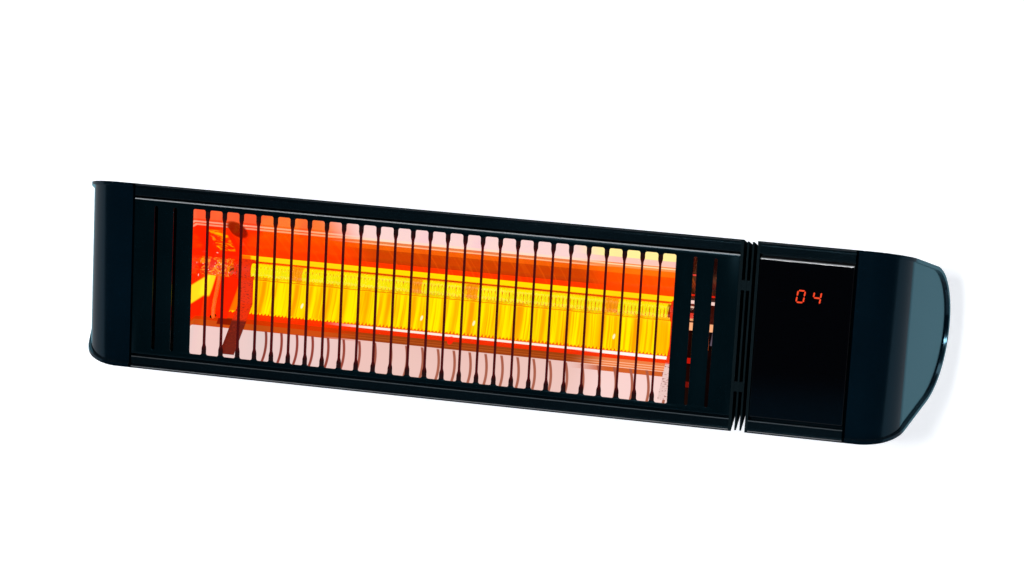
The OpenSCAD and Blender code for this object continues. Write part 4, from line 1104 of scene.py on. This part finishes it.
    def blade_tree(self) -> Tree:
        """Geometry tree: one strip that twists edge-on between its roots, set out in a row."""
        names = ("Count", "Pitch", "First", "Depth", "Half height", "Twist height", "Width", "Thickness")
        tree = GeometryTree("twisted blades", *names)
        given, half = tree.given, tree.given["Half height"]
        low = tree.node("ShaderNodeCombineXYZ", {2: tree.times(half, -1.0)})
        high = tree.node("ShaderNodeCombineXYZ", {2: half})
        line = tree.node("GeometryNodeCurvePrimitiveLine", {"Start": low, "End": high})
        fine = tree.node("GeometryNodeResampleCurve", {"Curve": line, "Count": 121}, mode="COUNT")
        place = tree.node("GeometryNodeInputPosition")
        z = tree.node("ShaderNodeSeparateXYZ", {0: place}).outputs["Z"]
        from_root = tree.math("SUBTRACT", half, tree.math("ABSOLUTE", z))
        turned = tree.math("DIVIDE", from_root, given["Twist height"])
        tilt = {"Curve": fine, "Tilt": tree.spread(turned, 0.05, 1.0, math.pi / 2)}
        size = {"Width": given["Width"], "Height": given["Thickness"]}
        profile = tree.node("GeometryNodeCurvePrimitiveQuadrilateral", size)
        fillet = {"Curve": profile, "Radius": 0.00022, "Count": 2}
        strip = tree.node("GeometryNodeCurveToMesh", {
            "Curve": tree.node("GeometryNodeSetCurveTilt", tilt), "Fill Caps": True,
            "Profile Curve": tree.node("GeometryNodeFilletCurve", fillet, mode="POLY"),
        })
        start = tree.node("ShaderNodeCombineXYZ", {0: given["First"], 1: given["Depth"]})
        step = tree.node("ShaderNodeCombineXYZ", {0: given["Pitch"]})
        row = {"Count": given["Count"], "Start Location": start, "Offset": step}
        points = tree.node("GeometryNodeMeshLine", row)
        return tree.finish(tree.node("GeometryNodeInstanceOnPoints", {"Points": points, "Instance": strip}))


@dataclass
class Lamp(SubAssembly):
    """Quartz tube with its glowing coil, rings, bases, clips and leads.

    Attributes:
        middle: X of the lamp's middle.
        axis: Y and Z of the lamp's axis.
        coil: Length of the coil.
        turns: Number of turns.
        radius: Radius of the coil's centre line.
        wire: Radius of the wire.
    """

    middle: float = -0.02829
    axis: Span = (SIZE.y(0.050), 0.0022)
    coil: float = 0.34316
    turns: float = 127.0
    radius: float = 0.0042
    wire: float = 0.00105

    def build(self) -> None:
        """Dresses the tube and winds the coil."""
        self.shop.dress_edges("lamp_tube", 0.0)
        mesh = self.shop.grown("hot_coil", self.coil_tree(), {
            "Turns": self.turns, "Radius": self.radius, "Length": self.coil, "Wire": self.wire,
            "Material": self.shop.material(Slot.COIL),
        })
        lying = Matrix.Rotation(math.radians(90), 4, "Y")
        mesh.transform(Matrix.Translation((self.middle - self.coil / 2, *self.axis)) @ lying)
        self.shop.piece("hot_coil", mesh, "heater", Slot.COIL, ["filament"])
        self.shop.coat_node("lamp_clips", Look.CLIP)
        self.shop.coat_node("lamp_bases", Look.BASE)

    def coil_tree(self) -> Tree:
        """Geometry tree: a wire wound round the Z axis."""
        tree = GeometryTree("wound coil", "Turns", "Radius", "Length", "Wire")
        given, radius = tree.given, tree.given["Radius"]
        path = tree.node("GeometryNodeCurveSpiral", {
            "Resolution": 14, "Rotations": given["Turns"], "Height": given["Length"],
            "Start Radius": radius, "End Radius": radius,
        })
        ring = {"Resolution": 5, "Radius": given["Wire"]}
        section = tree.node("GeometryNodeCurvePrimitiveCircle", ring, mode="RADIUS")
        wound = {"Curve": path, "Profile Curve": section, "Fill Caps": True}
        return tree.finish(tree.node("GeometryNodeCurveToMesh", wound))


@dataclass
class Display(SubAssembly):
    """Black front glass with a lit two-figure reading.

    Attributes:
        reading: The lit bars of each figure, with the X of its middle.
        height: Middle height of the figures.
        size: Half width and half height of a figure.
        stroke: Width of a bar.
        proud: How far the bars stand before the glass.
        slant: Lean of the figures.
    """

    reading: tuple[tuple[str, float], ...] = (("abcdef", 0.2294), ("bcfg", 0.2409))
    height: float = 0.0330
    size: Span = (0.0025, 0.00425)
    stroke: float = 0.0011
    proud: float = 0.00008
    slant: float = 0.12

    def build(self) -> None:
        """Dresses the glass and lays the lit bars on it."""
        self.shop.dress_edges("display_glass", 0.001, segments=4)
        work = bmesh.new()
        for bars, x in self.reading:
            for bar in bars:
                self.add_bar(work, bar, x)
        bmesh.ops.recalc_face_normals(work, faces=work.faces)
        self.shop.piece("lit_figures", mesh_of(work, "lit_figures"), "heater", Slot.DIGIT)

    def add_bar(self, work: bmesh.types.BMesh, name: str, x: float) -> None:
        """Adds one lit bar with pointed ends.

        Args:
            work: The mesh under construction.
            name: The bar's letter, from a at the top round to f, and g across the middle.
            x: Middle of the figure.
        """
        w, h = self.size
        bars = {
            "a": ((-w, h), (w, h)), "g": ((-w, 0), (w, 0)), "d": ((-w, -h), (w, -h)),
            "b": ((w, h), (w, 0)), "c": ((w, 0), (w, -h)), "f": ((-w, h), (-w, 0)), "e": ((-w, 0), (-w, -h)),
        }
        start, end = (Vector(point) for point in bars[name])
        along = (end - start).normalized()
        side = Vector((-along.y, along.x)) * self.stroke / 2
        gap, tip = along * self.stroke * 0.25, along * self.stroke * 0.5
        start, end = start + gap, end - gap
        outline = [start, start + tip + side, end - tip + side, end, end - tip - side, start + tip - side]
        lean = [(x + point.x + self.slant * point.y, self.height + point.y) for point in outline]
        prism(work, *([(a, SIZE.y(depth), b) for a, b in lean] for depth in (-self.proud, 0.0)))


@dataclass
class Rounded(SubAssembly):
    """Sub-assembly whose CAD parts take rounded edges.

    Attributes:
        edges: Width of the rounding on each part.
        looks: Parts with a finish of their own.
    """

    edges: dict[str, float] = field(default_factory=dict)
    looks: dict[str, Look] = field(default_factory=dict)

    def build(self) -> None:
        """Rounds the edges of every part."""
        for node, width in self.edges.items():
            self.shop.dress_edges(node, width, look=self.looks.get(node))


@dataclass
class Shell(Rounded):
    """Housings, caps, grooves beside the caps and thermal break."""

    edges: dict[str, float] = field(default_factory=lambda: {
        "main_housing": 0.0004, "module_housing": 0.0004, "left_end_cap": 0.0004, "right_end_cap": 0.0004,
        "left_bulkhead": 0.0002, "right_bulkhead": 0.0002, "main_flange": 0.0004, "module_flange": 0.0003,
        "cooling_fins": 0.0002,
    })
    looks: dict[str, Look] = field(default_factory=lambda: {
        "left_bulkhead": Look.SEAM, "right_bulkhead": Look.SEAM, "main_flange": Look.FIN,
        "cooling_fins": Look.FIN, "module_flange": Look.FIN,
    })


@dataclass
class Mountings(Rounded):
    """Tilt and wall brackets, their bolts, the cord's gland and the main switch."""

    edges: dict[str, float] = field(default_factory=lambda: {
        "tilt_bracket": 0.0004, "wall_bracket": 0.0004, "pivot_bolts": 0.0003, "pivot_nuts": 0.0003,
        "rail_nuts": 0.0002, "cable_gland": 0.0004, "switch_body": 0.0003, "switch_rocker": 0.0003,
    })


@dataclass
class Inside(SubAssembly):
    """Everything that stays as modelled and only takes its slot's finish."""

    def build(self) -> None:
        """Coats every CAD node that no piece has replaced."""
        for node, made in frame["nodes"].items():
            if not made.hide_render and node not in self.shop.coated:
                self.shop.coat_node(node)
                log.info("node %s: %s", node, self.shop.slots[node].value)


@dataclass
class Studio:
    """Camera, lights, world, wall and floor.

    Attributes:
        eye: The camera's place.
        turn: Its turns about X, Y and Z, in degrees.
        lens: Its focal length on a 36 mm sensor.
        floor_z: Height of the floor.
        wall: X where the wall ends on each side of the heater.
        mirrored: The wall's own glow in reflections.
    """

    eye: Point = (0.42251, -2.14707, 0.45111)
    turn: Point = (77.7966, -3.0403, 12.2048)
    lens: float = 99.93
    floor_z: float = -0.55
    wall: Span = (-0.47, 0.49)
    mirrored: Colour = (0.17, 0.5, 0.62)

    def build(self) -> None:
        """Sets up the whole studio."""
        self.camera()
        self.world()
        self.backdrop()
        self.area("key_light", (0.03, -2.7, 0.62), (0.0, -0.1, 0.0), (0.3, 0.3), 44.0)
        self.area("overhead", (-0.3, -0.55, 1.6), (0.0, -0.12, 0.0), (2.2, 0.5), 11.0)
        bpy.context.scene.view_settings.view_transform = "Standard"

    def camera(self) -> None:
        """Puts the camera at the photograph's viewpoint."""
        data = bpy.data.cameras.new("camera")
        data.lens, data.sensor_width, data.clip_end = self.lens, 36.0, 50.0
        made = placed("camera", data)
        made.location, made.rotation_euler = self.eye, [math.radians(angle) for angle in self.turn]
        bpy.context.scene.camera = made

    def area(self, name: str, place: Point, aim: Point, size: Span, power: float) -> None:
        """Adds a softbox.

        Args:
            name: The light's name.
            place: Where it stands.
            aim: What it points at.
            size: Its width and height.
            power: Its power in watts.
        """
        data = bpy.data.lights.new(name, "AREA")
        data.shape, data.energy = "RECTANGLE", power
        data.size, data.size_y = size
        made = placed(name, data)
        made.location = place
        made.rotation_euler = (Vector(aim) - Vector(place)).to_track_quat("-Z", "Y").to_euler()

    def world(self) -> None:
        """White for the camera, and dark in front so that the black faces stay black."""
        world = bpy.data.worlds.new("studio")
        bpy.context.scene.world = world
        world.use_nodes = True
        graph = Graph(world.node_tree)
        above = graph.spread(graph.along("Z", "Generated"), 0.4, 0.85, 0.22)
        beside = graph.spread(graph.along("X", "Generated"), 0.85, 0.97, 0.1)
        bright = graph.math("ADD", graph.math("MAXIMUM", above, beside), 0.05)
        seen = graph.node("ShaderNodeLightPath").outputs["Is Camera Ray"]
        shown = {"Strength": graph.math("MAXIMUM", bright, seen), "Color": (0.96, 0.98, 1.0)}
        graph.fill(world.node_tree.nodes["Background"], shown)

    def backdrop(self) -> None:
        """A white wall right behind the bracket and a pale floor far below."""
        (left, right), z, y, top = self.wall, self.floor_z, 0.0005, 2
        wall = [(left, y, z), (right, y, z), (right, y, top), (left, y, top)]
        self.sheet("studio_wall", wall, 0.53, self.mirrored)
        floor = [(-6, -1, z), (6, -1, z), (6, 6, z), (-6, 6, z)]
        self.sheet("studio_floor", floor, 0.8, (0.4, 0.42, 0.45))

    def sheet(self, name: str, corners: list[Point], glow: float, mirrored: Colour) -> None:
        """Adds a one-sided studio surface that keeps the object's shadow.

        Args:
            name: The surface's name.
            corners: Its four corners, so that its front faces the object.
            glow: How much it shines by itself.
            mirrored: The colour of that glow in reflections.
        """
        mesh = bpy.data.meshes.new(name)
        mesh.from_pydata(corners, [], [(0, 1, 2, 3)])
        made = placed(name, mesh)
        tree = MaterialTree(name)
        path = tree.node("ShaderNodeLightPath").outputs
        glossy, own = path["Is Glossy Ray"], (glow * 0.95, glow * 0.98, glow * 1.02)
        lit = tree.mix(path["Is Diffuse Ray"], own, (0.3, 0.3, 0.31))
        tree.glow(tree.mix(glossy, lit, mirrored))
        tree.surface(tree.mix(glossy, (0.8, 0.81, 0.83), (0.16, 0.16, 0.17)), 0.9, 0.0)
        behind = tree.node("ShaderNodeNewGeometry").outputs["Backfacing"]
        hidden = tree.math("MAXIMUM", behind, path["Is Shadow Ray"])
        clear = tree.node("ShaderNodeBsdfTransparent")
        chosen = tree.node("ShaderNodeMixShader", {0: hidden, 1: tree.shader, 2: clear})
        tree.fill(tree.tree.nodes["Material Output"], {"Surface": chosen})
        mesh.materials.append(tree.material)


def write_sizes() -> None:
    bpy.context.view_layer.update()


def main() -> None:
    """Builds every sub-assembly in order."""
    logging.basicConfig(level=logging.INFO, format="%(message)s")
    shop = Workshop()
    Studio().build()
    for part in (Shell(shop), Grille(shop), Lamp(shop), Display(shop), Mountings(shop), Inside(shop)):
        part.build()
        log.info("%s done", type(part).__name__)
    write_sizes()


if __name__ == "__main__":
    main()
